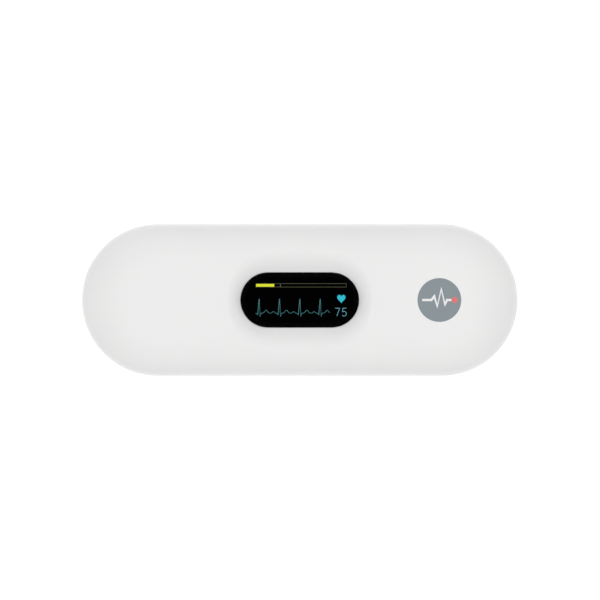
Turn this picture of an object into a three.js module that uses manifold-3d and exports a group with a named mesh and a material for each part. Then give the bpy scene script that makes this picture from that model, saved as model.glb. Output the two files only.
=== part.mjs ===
// A pocket ECG monitor: a white pill-shaped recorder that is held between the fingers of both hands.
// The front shell has a shallow dish round a small OLED window. The flat back carries two steel electrodes.
// Lengths are in millimetres. +X is along the body, +Y across it, +Z out of the screen.
// The origin is under the middle of the body, on the plane that the electrodes rest on.
import * as THREE from "three";
import { mergeVertices } from "three/addons/utils/BufferGeometryUtils.js";
import Module from "manifold-3d";

const wasm = await Module();
wasm.setup();

// Driving dimensions of the body

const bodyLength = 104;
const bodyWidth = 36.3;
const frontDepth = 9.3; // parting plane up to the crown
const rearDepth = 4.5; // parting plane down to the flat back
const sideWall = 1.8;
const roofWall = 1.6;
const floorWall = 1.5;
const electrodeProud = 0.3; // how far the electrodes stand out of the back

// Clearances

const seamGap = 0.15; // shadow line between the two shells
const seatGap = 0.05; // between two pieces that lie on each other
const slipGap = 0.12; // round a plate or stud that drops into a pocket or hole
const cutOverrun = 2; // how far a cutting shape runs past what it cuts

// Sizes and heights that follow from them

const halfLength = bodyLength / 2;
const endRadius = bodyWidth / 2;
const halfStraight = halfLength - endRadius;
const innerRadius = endRadius - sideWall;
const backZ = electrodeProud;
const floorZ = backZ + floorWall;
const partZ = backZ + rearDepth;
const crownZ = partZ + frontDepth;

// How finely round shapes are cut into facets

const endSteps = 18; // round each end of the body
const straightSteps = 9; // along each side of the roof
const hollowSteps = 5; // along each side of the hollow under it
const windowSteps = 10; // round each end of the window
const roundSteps = 16; // round a screw, stud or hole
const wireSides = 8;

// Materials

function finish(color, roughness, metalness = 0) {
  return new THREE.MeshStandardMaterial({ color, roughness, metalness });
}

const whitePlastic = finish(0xf0f0ee, 0.42);
const smokedAcrylic = finish(0x050506, 0.08);
const brushedSteel = finish(0xb9bcbe, 0.3, 1);
const screwSteel = finish(0x9a9c9f, 0.35, 1);
const greenLaminate = finish(0x14502f, 0.5);
const blackEpoxy = finish(0x17181a, 0.6);
const displayGlass = finish(0x0a0b0d, 0.1);
const amberFilm = finish(0xb8701c, 0.45);
const blackFoam = finish(0x1c1c1d, 0.95);
const greyTape = finish(0x2b2c2e, 0.8);
const nickelShell = finish(0xc3c1ba, 0.28, 1);
const goldPlate = finish(0xd6b25e, 0.3, 1);
const foilPouch = finish(0xc9cbcf, 0.4, 1);
const creamNylon = finish(0xe6dfcb, 0.55);
const redSleeve = finish(0xb3231c, 0.5);
const blackSleeve = finish(0x1a1a1b, 0.5);
const tanCeramic = finish(0xa98a62, 0.6);
const orangeCase = finish(0xd08a2b, 0.5);

// Building helpers

const monitor = new THREE.Group();

function addPiece(name, geometry, material, x = 0, y = 0, z = 0) {
  const mesh = new THREE.Mesh(geometry, material);
  mesh.name = name;
  mesh.position.set(x, y, z);
  monitor.add(mesh);
  return mesh;
}

// A closed geometry as a solid that can be joined and cut.
function solidOf(geometry) {
  const bare = geometry.clone();
  bare.deleteAttribute("normal");
  bare.deleteAttribute("uv");
  const merged = mergeVertices(bare);
  return new wasm.Manifold(
    new wasm.Mesh({
      numProp: 3,
      vertProperties: merged.attributes.position.array,
      triVerts: new Uint32Array(merged.index.array),
    }),
  );
}

function geometryOf(solid) {
  const mesh = solid.getMesh();
  const geometry = new THREE.BufferGeometry();
  geometry.setAttribute("position", new THREE.BufferAttribute(mesh.vertProperties, 3));
  geometry.setIndex(new THREE.BufferAttribute(mesh.triVerts, 1));
  return geometry;
}

function mix(from, to, share) {
  return from + (to - from) * share;
}

// Points round a pill that reaches half along X to the middles of its two round ends.
function pillRing(half, radius, heightAt, alongSteps, arcSteps) {
  const points = [];
  for (const sign of [1, -1]) {
    for (let i = 0; i < arcSteps; i++) {
      const angle = (Math.PI * i) / arcSteps - (sign * Math.PI) / 2;
      points.push([sign * half + radius * Math.cos(angle), radius * Math.sin(angle)]);
    }
    for (let i = 0; i < alongSteps; i++) {
      points.push([sign * half * (1 - (2 * i) / alongSteps), sign * radius]);
    }
  }
  return points.map(([x, y]) => [x, y, heightAt(x, y)]);
}

// A closed skin over rings that are listed from low to high, with a fan over each end.
function loft(rings) {
  const count = rings[0].length;
  const topStart = (rings.length - 1) * count;
  const places = rings.flat(2);
  const faces = [];
  for (let start = 0; start < topStart; start += count) {
    for (let i = 0; i < count; i++) {
      const a = start + i;
      const b = start + ((i + 1) % count);
      faces.push(a, b, b + count, a, b + count, a + count);
    }
  }
  for (const start of [0, topStart]) {
    const hub = places.length / 3;
    const ring = rings[start / count];
    places.push(...[0, 1, 2].map((axis) => ring.reduce((sum, point) => sum + point[axis], 0) / count));
    for (let i = 0; i < count; i++) {
      const edge = [start + i, start + ((i + 1) % count)];
      faces.push(hub, ...(start === 0 ? edge.reverse() : edge));
    }
  }
  const geometry = new THREE.BufferGeometry();
  geometry.setAttribute("position", new THREE.Float32BufferAttribute(places, 3));
  geometry.setIndex(faces);
  return geometry;
}

// A pill-shaped plate between two heights.
function pillPlate(half, radius, low, high, arcSteps = endSteps) {
  return loft([low, high].map((z) => pillRing(half, radius, () => z, 1, arcSteps)));
}

function cylinder(radius, low, high, x = 0, y = 0) {
  const geometry = new THREE.CylinderGeometry(radius, radius, high - low, roundSteps);
  return geometry.rotateX(Math.PI / 2).translate(x, y, (low + high) / 2);
}

function block(length, width, low, high) {
  return new THREE.BoxGeometry(length, width, high - low).translate(0, 0, (low + high) / 2);
}

// Turns that stand an outline up across the x, y or z axis. The outline is in (y, z), (x, z) or (x, y).
const standUp = {
  x: new THREE.Matrix4().set(0, 0, 1, 0, 1, 0, 0, 0, 0, 1, 0, 0, 0, 0, 0, 1),
  y: new THREE.Matrix4().set(1, 0, 0, 0, 0, 0, -1, 0, 0, 1, 0, 0, 0, 0, 0, 1),
  z: new THREE.Matrix4(),
};

// An outline drawn out along an axis from low to high, its edges broken by bevel.
function drawnOut(shape, axis, low, high, bevel = 0) {
  const geometry = new THREE.ExtrudeGeometry(shape, {
    depth: high - low - 2 * bevel,
    bevelEnabled: bevel > 0,
    bevelThickness: bevel,
    bevelSize: bevel,
    bevelOffset: -bevel,
    bevelSegments: 1,
    curveSegments: windowSteps,
  });
  geometry.applyMatrix4(standUp[axis]);
  const start = { x: [low + bevel, 0, 0], y: [0, high - bevel, 0], z: [0, 0, low + bevel] };
  return geometry.translate(...start[axis]);
}

function pillShape(half, radius) {
  const shape = new THREE.Shape();
  shape.absarc(half, 0, radius, -Math.PI / 2, Math.PI / 2);
  shape.absarc(-half, 0, radius, Math.PI / 2, (3 * Math.PI) / 2);
  return shape;
}

// Points on an arc, for the middle line of a strip.
function arcPoints(centreA, centreB, radius, fromAngle, toAngle, steps) {
  return Array.from({ length: steps + 1 }, (_, i) => {
    const angle = mix(fromAngle, toAngle, i / steps);
    return [centreA + radius * Math.cos(angle), centreB + radius * Math.sin(angle)];
  });
}

// The outline of a thin strip whose middle line runs through the given points.
function stripShape(points, thickness) {
  const line = points.map(([a, b]) => new THREE.Vector2(a, b));
  const offsets = line.map((point, i) => {
    const before = line[Math.max(0, i - 1)];
    const after = line[Math.min(line.length - 1, i + 1)];
    const along = after.clone().sub(before).normalize();
    return new THREE.Vector2(-along.y, along.x).multiplyScalar(thickness / 2);
  });
  const left = line.map((point, i) => point.clone().add(offsets[i]));
  const right = line.map((point, i) => point.clone().sub(offsets[i]));
  return new THREE.Shape([...right, ...left.reverse()]);
}

// Dish round the window: the roof climbs from a flat floor to its crown at an oval rim

const windowLength = 28.15;
const windowWidth = 13.05;
const windowGap = 0.08; // round the window in its pocket
const windowLand = 0.2; // flat rim of the dish floor round the window
const dishDepth = 2.3;
const dishHalfLength = 18.3;
const dishHalfWidth = 12.9;
const rimPower = 3; // 2 would make the rim an ellipse, and more makes it squarer
const dishPower = 1.9; // the climb is steepest at the window and eases off towards the rim

const windowRadius = windowWidth / 2;
const windowHalf = windowLength / 2 - windowRadius;
const landRadius = windowRadius + windowLand;
const dishFloorZ = crownZ - dishDepth;
const ceilingZ = dishFloorZ - roofWall;

// 0 at the edge of the dish floor, 1 at the rim and beyond.
function dishClimb(x, y) {
  const pastWindow = Math.max(0, Math.hypot(Math.max(0, Math.abs(x) - windowHalf), y) - landRadius);
  const lengthShare = Math.pow(Math.abs(x) / dishHalfLength, rimPower);
  const widthShare = Math.pow(Math.abs(y) / dishHalfWidth, rimPower);
  const toRim = dishHalfWidth * (1 - Math.pow(lengthShare + widthShare, 1 / rimPower));
  if (toRim <= 0) return 1;
  return 1 - Math.pow(toRim / (pastWindow + toRim), dishPower);
}

// Roof over the parting plane, used for the outer skin and for the hollow under it

const roofPower = 4.7; // 2 would make the cross-section an ellipse, and more makes it squarer
const crownDrop = 2.6; // how much lower the crown line is at the two ends
const crownPower = 2;
const edgeShare = 0.75; // of the radius, where the steep side goes over into the top
const sideShares = [0.07, 0.18, 0.33, 0.52, 0.74, 1];
const roofShares = [0.86, 0.72, 0.58, 0.45, 0.33, 0.22, 0.11, 0];

// rise is 0 at the foot of the roof and 1 along its middle.
function roofHeight(x, y, rise, depth, dishFloor) {
  const drop = crownDrop * Math.pow(Math.abs(x) / halfLength, crownPower);
  return mix(dishFloor, partZ + (depth - drop) * rise, dishClimb(x, y));
}

// Rings from the foot up to the dish floor. On the steep side they keep one distance from the outline,
// and over the top they shrink to the outline of the window.
function roofRings(radius, depth, dishFloor, footZ, alongSteps) {
  const ring = (half, reach, heightAt) => pillRing(half, reach, heightAt, alongSteps, endSteps);
  const foot = ring(halfStraight, radius, () => footZ);
  const lastTurn = Math.acos(Math.pow(edgeShare, roofPower / 2));
  const side = sideShares.map((share) => {
    const reach = radius * Math.pow(Math.cos(share * lastTurn), 2 / roofPower);
    const rise = Math.pow(Math.sin(share * lastTurn), 2 / roofPower);
    return ring(halfStraight, reach, (x, y) => roofHeight(x, y, rise, depth, dishFloor));
  });
  const top = roofShares.map((share) => {
    const half = mix(windowHalf, halfStraight, share);
    const reach = mix(landRadius, radius * edgeShare, share);
    return ring(half, reach, (x, y) => {
      const out = Math.hypot(Math.max(0, Math.abs(x) - halfStraight), y) / radius;
      const rise = Math.pow(1 - Math.pow(out, roofPower), 1 / roofPower);
      return roofHeight(x, y, rise, depth, dishFloor);
    });
  });
  return [foot, ...side, ...top];
}

// Charging socket, cut through both shells. Its middle is on the parting plane, and the board lies on it.

const socketWidth = 8.94;
const socketHeight = 3.2;
const socketDepth = 7.3;
const socketInset = 1.1; // from the end of the body to the socket's mouth
const portGap = 0.2; // round the socket in the shells
const boardThickness = 1;
const boardInset = 0.9; // from the inner side wall to the board's edge

const socketRadius = socketHeight / 2;
const socketHalf = socketWidth / 2 - socketRadius;
const socketMouthX = halfLength - socketInset;
const socketBackX = socketMouthX - socketDepth;
const boardBackZ = partZ + socketRadius + seatGap;
const boardTopZ = boardBackZ + boardThickness;
const boardRadius = innerRadius - boardInset;
const boardEnd = halfStraight + boardRadius;

function portCut() {
  const shape = pillShape(socketHalf, socketRadius + portGap);
  return solidOf(drawnOut(shape, "x", socketBackX, halfLength + cutOverrun).translate(0, 0, partZ));
}

// Power button in the long side, on the parting plane too. Wings behind the wall keep it in.

const buttonLength = 10;
const buttonHeight = 2.6;
const buttonGap = 0.15; // round the button in the shells
const buttonRecess = 0.05; // its face lies this far inside the outline
const buttonBevel = 0.25;
const buttonTravel = 0.4;
const wingLength = 1.6; // past each end of the cap
const wingHeight = 1.8;
const wingThickness = 0.6;
const wingGap = 0.3; // between the wings and the wall
const pipRadius = 0.8; // the pip presses on the switch
const pipLength = 0.25;

const buttonRadius = buttonHeight / 2;
const buttonHalf = buttonLength / 2 - buttonRadius;
const buttonFaceY = endRadius - buttonRecess;
const wingOuterY = innerRadius - wingGap;
const wingInnerY = wingOuterY - wingThickness;
const pipTipY = wingInnerY - pipLength;

function buttonCut() {
  const shape = pillShape(buttonHalf, buttonRadius + buttonGap);
  return solidOf(drawnOut(shape, "y", wingOuterY, endRadius + cutOverrun).translate(0, 0, partZ));
}

// Case screws: each passes the rear boss and the board, and bites into the front boss

const screwAlongShare = 0.709; // of the straight half length
const screwInset = 5.1; // from the inner side wall to a screw's middle
const screwHeadRadius = 1.75;
const screwHeadHeight = 1.1;
const screwHeadRecess = 0.2; // below the back
const screwHeadBevel = 0.3;
const screwShankRadius = 0.95;
const screwTipRadius = 0.35;
const screwTipLength = 0.6;
const screwBite = 2.6; // length in the front boss
const screwSpare = 0.5; // pilot hole past the tip
const screwGap = 0.2; // round the head, and round the shank in the rear boss and the board
const pilotGap = 0.11; // round the shank in the front boss, where the thread would be
const crossLength = 2;
const crossWidth = 0.36;
const crossDepth = 0.6;
const bossWall = 1.4; // round the clearance hole

const headPocketRadius = screwHeadRadius + screwGap;
const clearanceRadius = screwShankRadius + screwGap;
const bossRadius = clearanceRadius + bossWall;
const headBackZ = backZ + screwHeadRecess;
const headPocketZ = headBackZ + screwHeadHeight + seatGap;
const frontBossZ = boardTopZ + seatGap;
const rearBossZ = boardBackZ - seatGap;
const screwLength = frontBossZ + screwBite - headBackZ;
const screwX = halfStraight * screwAlongShare;
const screwY = innerRadius - screwInset;
const screwPlaces = [
  [screwX, screwY],
  [-screwX, screwY],
  [-screwX, -screwY],
  [screwX, -screwY],
];

function caseScrew() {
  const profile = [
    [0, 0],
    [screwHeadRadius - screwHeadBevel, 0],
    [screwHeadRadius, screwHeadBevel],
    [screwHeadRadius, screwHeadHeight],
    [screwShankRadius, screwHeadHeight],
    [screwShankRadius, screwLength - screwTipLength],
    [screwTipRadius, screwLength],
    [0, screwLength],
  ].map(([radius, z]) => new THREE.Vector2(radius, z));
  const turned = new THREE.LatheGeometry(profile, roundSteps).rotateX(Math.PI / 2);
  const slot = block(crossLength, crossWidth, -cutOverrun, crossDepth);
  const crossSlot = slot.clone().rotateZ(Math.PI / 2);
  return geometryOf(solidOf(turned).subtract(solidOf(slot)).subtract(solidOf(crossSlot)));
}

screwPlaces.forEach(([x, y], i) => {
  addPiece(`case_screw_${i + 1}`, caseScrew(), screwSteel, x, y, headBackZ);
});

// Display window and the tape that holds it on the ledge of its pocket

const lensThickness = 0.8;
const lensRecess = 0.05; // below the dish floor
const tapeThickness = 0.15;
const tapeWidth = 1;

const lensTopZ = dishFloorZ - lensRecess;
const lensBackZ = lensTopZ - lensThickness;
const tapeTopZ = lensBackZ - seatGap;
const ledgeZ = tapeTopZ - tapeThickness - seatGap;
const viewRadius = windowRadius - tapeWidth; // the hole through the ledge

function windowPlate(radius, low, high) {
  return pillPlate(windowHalf, radius, low, high, windowSteps);
}

function windowRing(radius, width, low, high) {
  const hole = windowPlate(radius - width, low - cutOverrun, high + cutOverrun);
  return geometryOf(solidOf(windowPlate(radius, low, high)).subtract(solidOf(hole)));
}

addPiece("display_window", windowPlate(windowRadius, lensBackZ, lensTopZ), smokedAcrylic);
addPiece("window_tape", windowRing(windowRadius, tapeWidth, tapeTopZ - tapeThickness, tapeTopZ), greyTape);

// Front shell, with a rebate along its edge for the lip of the rear shell

const lipThickness = 0.75;
const lipHeight = 0.9;
const lipGap = 0.15;
const lipRoot = 1; // how deep the lip reaches into the rear wall

const lipRadius = innerRadius + lipThickness;
const lipTopZ = partZ + lipHeight;

function frontShell() {
  const footZ = partZ + seamGap / 2;
  const skin = solidOf(loft(roofRings(endRadius, frontDepth, dishFloorZ, footZ, straightSteps)));
  const hollowDepth = frontDepth - roofWall;
  const hollow = roofRings(innerRadius, hollowDepth, ceilingZ, partZ - cutOverrun, hollowSteps);
  const rebate = pillPlate(halfStraight, lipRadius + lipGap, partZ - cutOverrun, lipTopZ + lipGap);
  let shell = skin.subtract(solidOf(loft(hollow))).subtract(solidOf(rebate));
  for (const [x, y] of screwPlaces) {
    const boss = solidOf(cylinder(bossRadius, frontBossZ, crownZ - roofWall, x, y));
    const pilotTop = frontBossZ + screwBite + screwSpare;
    const pilot = cylinder(screwShankRadius + pilotGap, frontBossZ - cutOverrun, pilotTop, x, y);
    shell = shell.add(boss).subtract(solidOf(pilot));
  }
  const pocket = windowPlate(windowRadius + windowGap, ledgeZ, dishFloorZ + cutOverrun);
  const viewHole = windowPlate(viewRadius, ceilingZ - cutOverrun, dishFloorZ);
  return shell
    .subtract(solidOf(pocket))
    .subtract(solidOf(viewHole))
    .subtract(portCut())
    .subtract(buttonCut());
}

addPiece("front_shell", geometryOf(frontShell()), whitePlastic);

// Electrodes: a steel plate in a pocket of the back, whose round edge follows the end of the body. Its stud
// goes through the floor and is held by a clip, and a leaf spring joins it to the board.

const backInset = 4.7; // from the outline to the flat of the back
const backPower = 2.2;
const electrodeThickness = 0.8;
const electrodeEdge = 0.65; // from the edge of the flat back to the plate
const electrodeClear = 2.6; // from the screw heads to the plate
const electrodeCorner = 3;
const electrodeBevel = 0.2;
const sealThickness = 0.15;
const sealWidth = 1.6;
const studRadius = 1.6;
const studLength = 1.1; // above the shell's floor
const clipRadius = 3.1;
const clipThickness = 0.35;
const springThickness = 0.2;
const springWidth = 3;
const springLeg = 3; // flat leg under the board
const springToe = 2; // flat toe on the stud
const springBendSteps = 8;

const floorInset = (backInset * (rearDepth - floorWall)) / rearDepth;
const electrodeRadius = endRadius - backInset - electrodeEdge;
const electrodeStartX = screwX + headPocketRadius + electrodeClear;
const electrodeRound = Math.min(electrodeCorner, halfStraight - electrodeStartX);
const sealTopZ = electrodeThickness + seatGap + sealThickness;
const studX = (electrodeStartX + halfStraight + electrodeRadius) / 2;
const studTopZ = floorZ + studLength;

function electrodeShape(grow) {
  const start = electrodeStartX - grow;
  const radius = electrodeRadius + grow;
  const corner = electrodeRound + grow;
  const shape = new THREE.Shape();
  shape.absarc(halfStraight, 0, radius, -Math.PI / 2, Math.PI / 2);
  shape.absarc(start + corner, radius - corner, corner, Math.PI / 2, Math.PI);
  shape.absarc(start + corner, corner - radius, corner, Math.PI, (3 * Math.PI) / 2);
  return shape;
}

function electrodePlate() {
  const plate = drawnOut(electrodeShape(0), "z", 0, electrodeThickness, electrodeBevel);
  const stud = cylinder(studRadius, electrodeThickness / 2, studTopZ, studX);
  return geometryOf(solidOf(plate).add(solidOf(stud)));
}

function electrodeSeal() {
  const low = electrodeThickness + seatGap;
  const pad = drawnOut(electrodeShape(-electrodeBevel), "z", low, sealTopZ);
  const middle = drawnOut(electrodeShape(-electrodeBevel - sealWidth), "z", 0, sealTopZ + cutOverrun);
  return geometryOf(solidOf(pad).subtract(solidOf(middle)));
}

function studClip() {
  const low = floorZ + seatGap;
  const disc = cylinder(clipRadius, low, low + clipThickness, studX);
  const hole = cylinder(studRadius + slipGap, floorZ - cutOverrun, floorZ + cutOverrun, studX);
  return geometryOf(solidOf(disc).subtract(solidOf(hole)));
}

// A C-shaped leaf: one leg under the board, the bend, and the toe on the stud.
function contactSpring() {
  const top = boardBackZ - seatGap - springThickness / 2;
  const bottom = studTopZ + seatGap + springThickness / 2;
  const radius = (top - bottom) / 2;
  const bend = arcPoints(studX, bottom + radius, radius, Math.PI / 2, -Math.PI / 2, springBendSteps);
  const line = [[studX - springLeg, top], ...bend, [studX - springToe, bottom]];
  return drawnOut(stripShape(line, springThickness), "y", -springWidth / 2, springWidth / 2);
}

for (const [side, turn] of [
  ["right", 0],
  ["left", Math.PI],
]) {
  addPiece(`${side}_electrode`, electrodePlate(), brushedSteel).rotation.z = turn;
  addPiece(`${side}_electrode_seal`, electrodeSeal(), greyTape).rotation.z = turn;
  addPiece(`${side}_electrode_clip`, studClip(), screwSteel).rotation.z = turn;
  addPiece(`${side}_contact_spring`, contactSpring(), goldPlate).rotation.z = turn;
}

// Battery: a pouch cell on a pad, between two ribs of the rear shell

const padThickness = 0.3;
const padShare = 0.7; // of the cell's length and width
const cellBossGap = 0.6; // from the rear bosses to a rib
const cellRibThickness = 0.9;
const cellRibHeight = 1.6;
const cellRibShare = 0.5; // of the cell's width
const cellEndGap = 0.35;
const cellSideGap = 0.9;
const cellTopGap = 0.4; // under the board
const cellBevel = 0.6;

const ribInnerX = screwX - bossRadius - cellBossGap - cellRibThickness;
const cellEndX = ribInnerX - cellEndGap;
const cellHalfWidth = innerRadius - floorInset - cellSideGap;
const cellBackZ = floorZ + seatGap + padThickness + seatGap;
const cellTopZ = boardBackZ - cellTopGap;

function boxShape(halfLong, halfWide) {
  return new THREE.Shape(
    [
      [-halfLong, -halfWide],
      [halfLong, -halfWide],
      [halfLong, halfWide],
      [-halfLong, halfWide],
    ].map(([a, b]) => new THREE.Vector2(a, b)),
  );
}

const cellShape = boxShape(cellEndX, cellHalfWidth);
const padBackZ = floorZ + seatGap;
addPiece("battery_cell", drawnOut(cellShape, "z", cellBackZ, cellTopZ, cellBevel), foilPouch);
addPiece(
  "battery_pad",
  block(2 * cellEndX * padShare, 2 * cellHalfWidth * padShare, padBackZ, padBackZ + padThickness),
  greyTape,
);

// Rear shell

const bowlShares = [1, 0.8, 0.6, 0.4, 0.22, 0.08]; // of a quarter turn, from the flat up to the side

// Rings of the rear shell's side, from its flat up to the parting plane.
function bowlRings(radius, inset, flatZ, rimZ) {
  const rings = bowlShares.map((share) => {
    const angle = (share * Math.PI) / 2;
    const reach = radius - inset * (1 - Math.pow(Math.abs(Math.cos(angle)), 2 / backPower));
    const z = partZ - (partZ - flatZ) * Math.pow(Math.sin(angle), 2 / backPower);
    return pillRing(halfStraight, reach, () => z, 1, endSteps);
  });
  return [...rings, pillRing(halfStraight, radius, () => rimZ, 1, endSteps)];
}

function rearShell() {
  const skin = solidOf(loft(bowlRings(endRadius, backInset, backZ, partZ - seamGap / 2)));
  const hollow = solidOf(loft(bowlRings(innerRadius, floorInset, floorZ, partZ + cutOverrun)));
  const lip = solidOf(pillPlate(halfStraight, lipRadius, partZ - lipRoot, lipTopZ));
  const lipHole = pillPlate(halfStraight, innerRadius, partZ - cutOverrun, partZ + cutOverrun);
  let shell = skin.subtract(hollow).add(lip.subtract(solidOf(lipHole)));
  for (const side of [1, -1]) {
    const turn = side > 0 ? 0 : Math.PI;
    const rib = block(cellRibThickness, 2 * cellHalfWidth * cellRibShare, backZ, floorZ + cellRibHeight);
    const trimmed = solidOf(rib.translate(side * (ribInnerX + cellRibThickness / 2), 0, 0)).intersect(
      solidOf(block(bodyLength, bodyWidth, backZ + floorWall / 2, crownZ)),
    );
    const pocket = drawnOut(electrodeShape(slipGap), "z", backZ - cutOverrun, sealTopZ + seatGap);
    const studHole = cylinder(studRadius + slipGap, backZ - cutOverrun, floorZ + cutOverrun, studX);
    shell = shell
      .add(trimmed)
      .subtract(solidOf(pocket.rotateZ(turn)))
      .subtract(solidOf(studHole.rotateZ(turn)));
  }
  for (const [x, y] of screwPlaces) {
    shell = shell
      .add(solidOf(cylinder(bossRadius, backZ + floorWall / 2, rearBossZ, x, y)))
      .subtract(solidOf(cylinder(headPocketRadius, backZ - cutOverrun, headPocketZ, x, y)))
      .subtract(solidOf(cylinder(clearanceRadius, backZ - cutOverrun, boardTopZ, x, y)));
  }
  return shell.subtract(portCut()).subtract(buttonCut());
}

addPiece("rear_shell", geometryOf(rearShell()), whitePlastic);

// Display panel under a foam gasket: cover glass, back glass with the driver chip on its ledge, the flex that
// turns down to the board, and the frame that holds the panel up

const gasketThickness = 0.3;
const gasketWidth = 1.4;
const panelLength = 26.7;
const panelWidth = 19.26;
const plateGlass = 0.65;
const litMargin = 7.53; // from the middle of the lit area to the panel's upper edge
const litShift = 0.22; // the lit area lies this far right of the window's middle
const ledgeWidth = 4.2; // the back glass shows this far below the cover glass
const driverLength = 11;
const driverWidth = 1.1;
const driverHeight = 0.3;
const driverShare = 0.3; // across the ledge, from the cover glass
const flexWidth = 12;
const flexThickness = 0.12;
const flexOverlap = 1.1; // on the ledge
const flexBend = 0.25;
const flexReachShare = 0.15; // of the free board past the panel's edge, straight out before it turns down
const flexLandingShare = 0.5; // of the same, soldered to the board
const flexBendSteps = 4;
const frameWall = 2.2;

const gasketTopZ = ceilingZ - seatGap;
const panelTopZ = gasketTopZ - gasketThickness - seatGap;
const ledgeTopZ = panelTopZ - plateGlass - seatGap;
const panelBackZ = ledgeTopZ - plateGlass;
const coverWidth = panelWidth - ledgeWidth;
const coverEdgeY = litMargin - coverWidth;
const panelEdgeY = litMargin - panelWidth;
const coverY = (litMargin + coverEdgeY) / 2;
const panelY = (litMargin + panelEdgeY) / 2;
const onLedgeZ = ledgeTopZ + seatGap;
const flexRoom = panelEdgeY + boardRadius - 2 * flexBend;

function displayFlex() {
  const top = onLedgeZ + flexThickness / 2;
  const bottom = boardTopZ + seatGap + flexThickness / 2;
  const fallY = panelEdgeY - flexRoom * flexReachShare - flexBend;
  const line = [
    [panelEdgeY + flexOverlap, top],
    ...arcPoints(fallY + flexBend, top - flexBend, flexBend, Math.PI / 2, Math.PI, flexBendSteps),
    ...arcPoints(fallY - flexBend, bottom + flexBend, flexBend, 0, -Math.PI / 2, flexBendSteps),
    [fallY - flexBend - flexRoom * flexLandingShare, bottom],
  ];
  return drawnOut(stripShape(line, flexThickness), "x", -flexWidth / 2, flexWidth / 2);
}

function displayFrame() {
  const low = boardTopZ + seatGap;
  const high = panelBackZ - seatGap;
  const hole = block(panelLength - 2 * frameWall, panelWidth - 2 * frameWall, boardBackZ, panelTopZ);
  return geometryOf(solidOf(block(panelLength, panelWidth, low, high)).subtract(solidOf(hole)));
}

const coverGlass = block(panelLength, coverWidth, ledgeTopZ + seatGap, panelTopZ);
const backGlass = block(panelLength, panelWidth, panelBackZ, ledgeTopZ);
const driverChip = block(driverLength, driverWidth, onLedgeZ, onLedgeZ + driverHeight);
const gasket = windowRing(viewRadius + gasketWidth, gasketWidth, gasketTopZ - gasketThickness, gasketTopZ);
addPiece("display_gasket", gasket, blackFoam);
addPiece("display_cover_glass", coverGlass, displayGlass, litShift, coverY);
addPiece("display_back_glass", backGlass, displayGlass, litShift, panelY);
addPiece("display_driver_chip", driverChip, blackEpoxy, litShift, coverEdgeY - ledgeWidth * driverShare);
addPiece("display_flex", displayFlex(), amberFilm, litShift);
addPiece("display_frame", displayFrame(), blackEpoxy, litShift, panelY);

// Main board, with a hole for each case screw

function mainBoard() {
  let board = solidOf(pillPlate(halfStraight, boardRadius, boardBackZ, boardTopZ));
  for (const [x, y] of screwPlaces) {
    const hole = cylinder(clearanceRadius, boardBackZ - cutOverrun, boardTopZ + cutOverrun, x, y);
    board = board.subtract(solidOf(hole));
  }
  return geometryOf(board);
}

addPiece("main_board", mainBoard(), greenLaminate);

// Parts soldered to the top of the board

const controllerSize = 6;
const controllerHeight = 0.9;
const amplifierSize = 5;
const amplifierHeight = 0.85;
const memoryLength = 6;
const memoryWidth = 5;
const memoryHeight = 0.95;
const chargerSize = 3;
const chargerHeight = 0.8;
const crystalLength = 3.2;
const crystalWidth = 2.5;
const crystalHeight = 0.75;
const inductorSize = 4;
const inductorHeight = 1.8;
const storageLength = 3.5;
const storageWidth = 2.8;
const storageHeight = 1.7;
const filterLength = 2;
const filterWidth = 1.25;
const filterHeight = 0.9;
const filterPitch = 2.2;
const filterCount = 4;
const radioLength = 15;
const radioWidth = 11;
const radioThickness = 0.8;
const shieldLength = 10;
const shieldWidth = 9.6;
const shieldHeight = 1.5;
const antennaLength = 1.6;
const antennaWidth = 7;
const antennaHeight = 0.5;
const radioMargin = 0.6; // from the radio board's ends to the shield can and the antenna

// Where each part sits, as shares of the board's half length and half width.
const controllerShares = [0.62, -0.3];
const amplifierShares = [-0.39, 0.24];
const memoryShares = [0.62, 0.36];
const chargerShares = [0.8, -0.12];
const crystalShares = [0.45, -0.42];
const inductorShares = [0.82, 0.25];
const storageShares = [0.42, 0.1];
const filterShares = [-0.39, -0.08];
const radioShares = [-0.73, 0];

const chipBackZ = boardTopZ + seatGap;

function placeOnBoard([alongShare, acrossShare]) {
  return [boardEnd * alongShare, boardRadius * acrossShare];
}

function onBoard(name, length, width, height, material, shares) {
  const geometry = block(length, width, chipBackZ, chipBackZ + height);
  addPiece(name, geometry, material, ...placeOnBoard(shares));
}

onBoard("controller_chip", controllerSize, controllerSize, controllerHeight, blackEpoxy, controllerShares);
onBoard("heart_signal_chip", amplifierSize, amplifierSize, amplifierHeight, blackEpoxy, amplifierShares);
onBoard("memory_chip", memoryLength, memoryWidth, memoryHeight, blackEpoxy, memoryShares);
onBoard("charger_chip", chargerSize, chargerSize, chargerHeight, blackEpoxy, chargerShares);
onBoard("crystal", crystalLength, crystalWidth, crystalHeight, nickelShell, crystalShares);
onBoard("power_inductor", inductorSize, inductorSize, inductorHeight, blackEpoxy, inductorShares);
onBoard("storage_capacitor", storageLength, storageWidth, storageHeight, orangeCase, storageShares);
onBoard("radio_board", radioLength, radioWidth, radioThickness, greenLaminate, radioShares);

const [filterX, filterY] = placeOnBoard(filterShares);
for (let i = 0; i < filterCount; i++) {
  const capacitor = block(filterLength, filterWidth, chipBackZ, chipBackZ + filterHeight);
  addPiece(`filter_capacitor_${i + 1}`, capacitor, tanCeramic, filterX, filterY - i * filterPitch);
}

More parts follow.
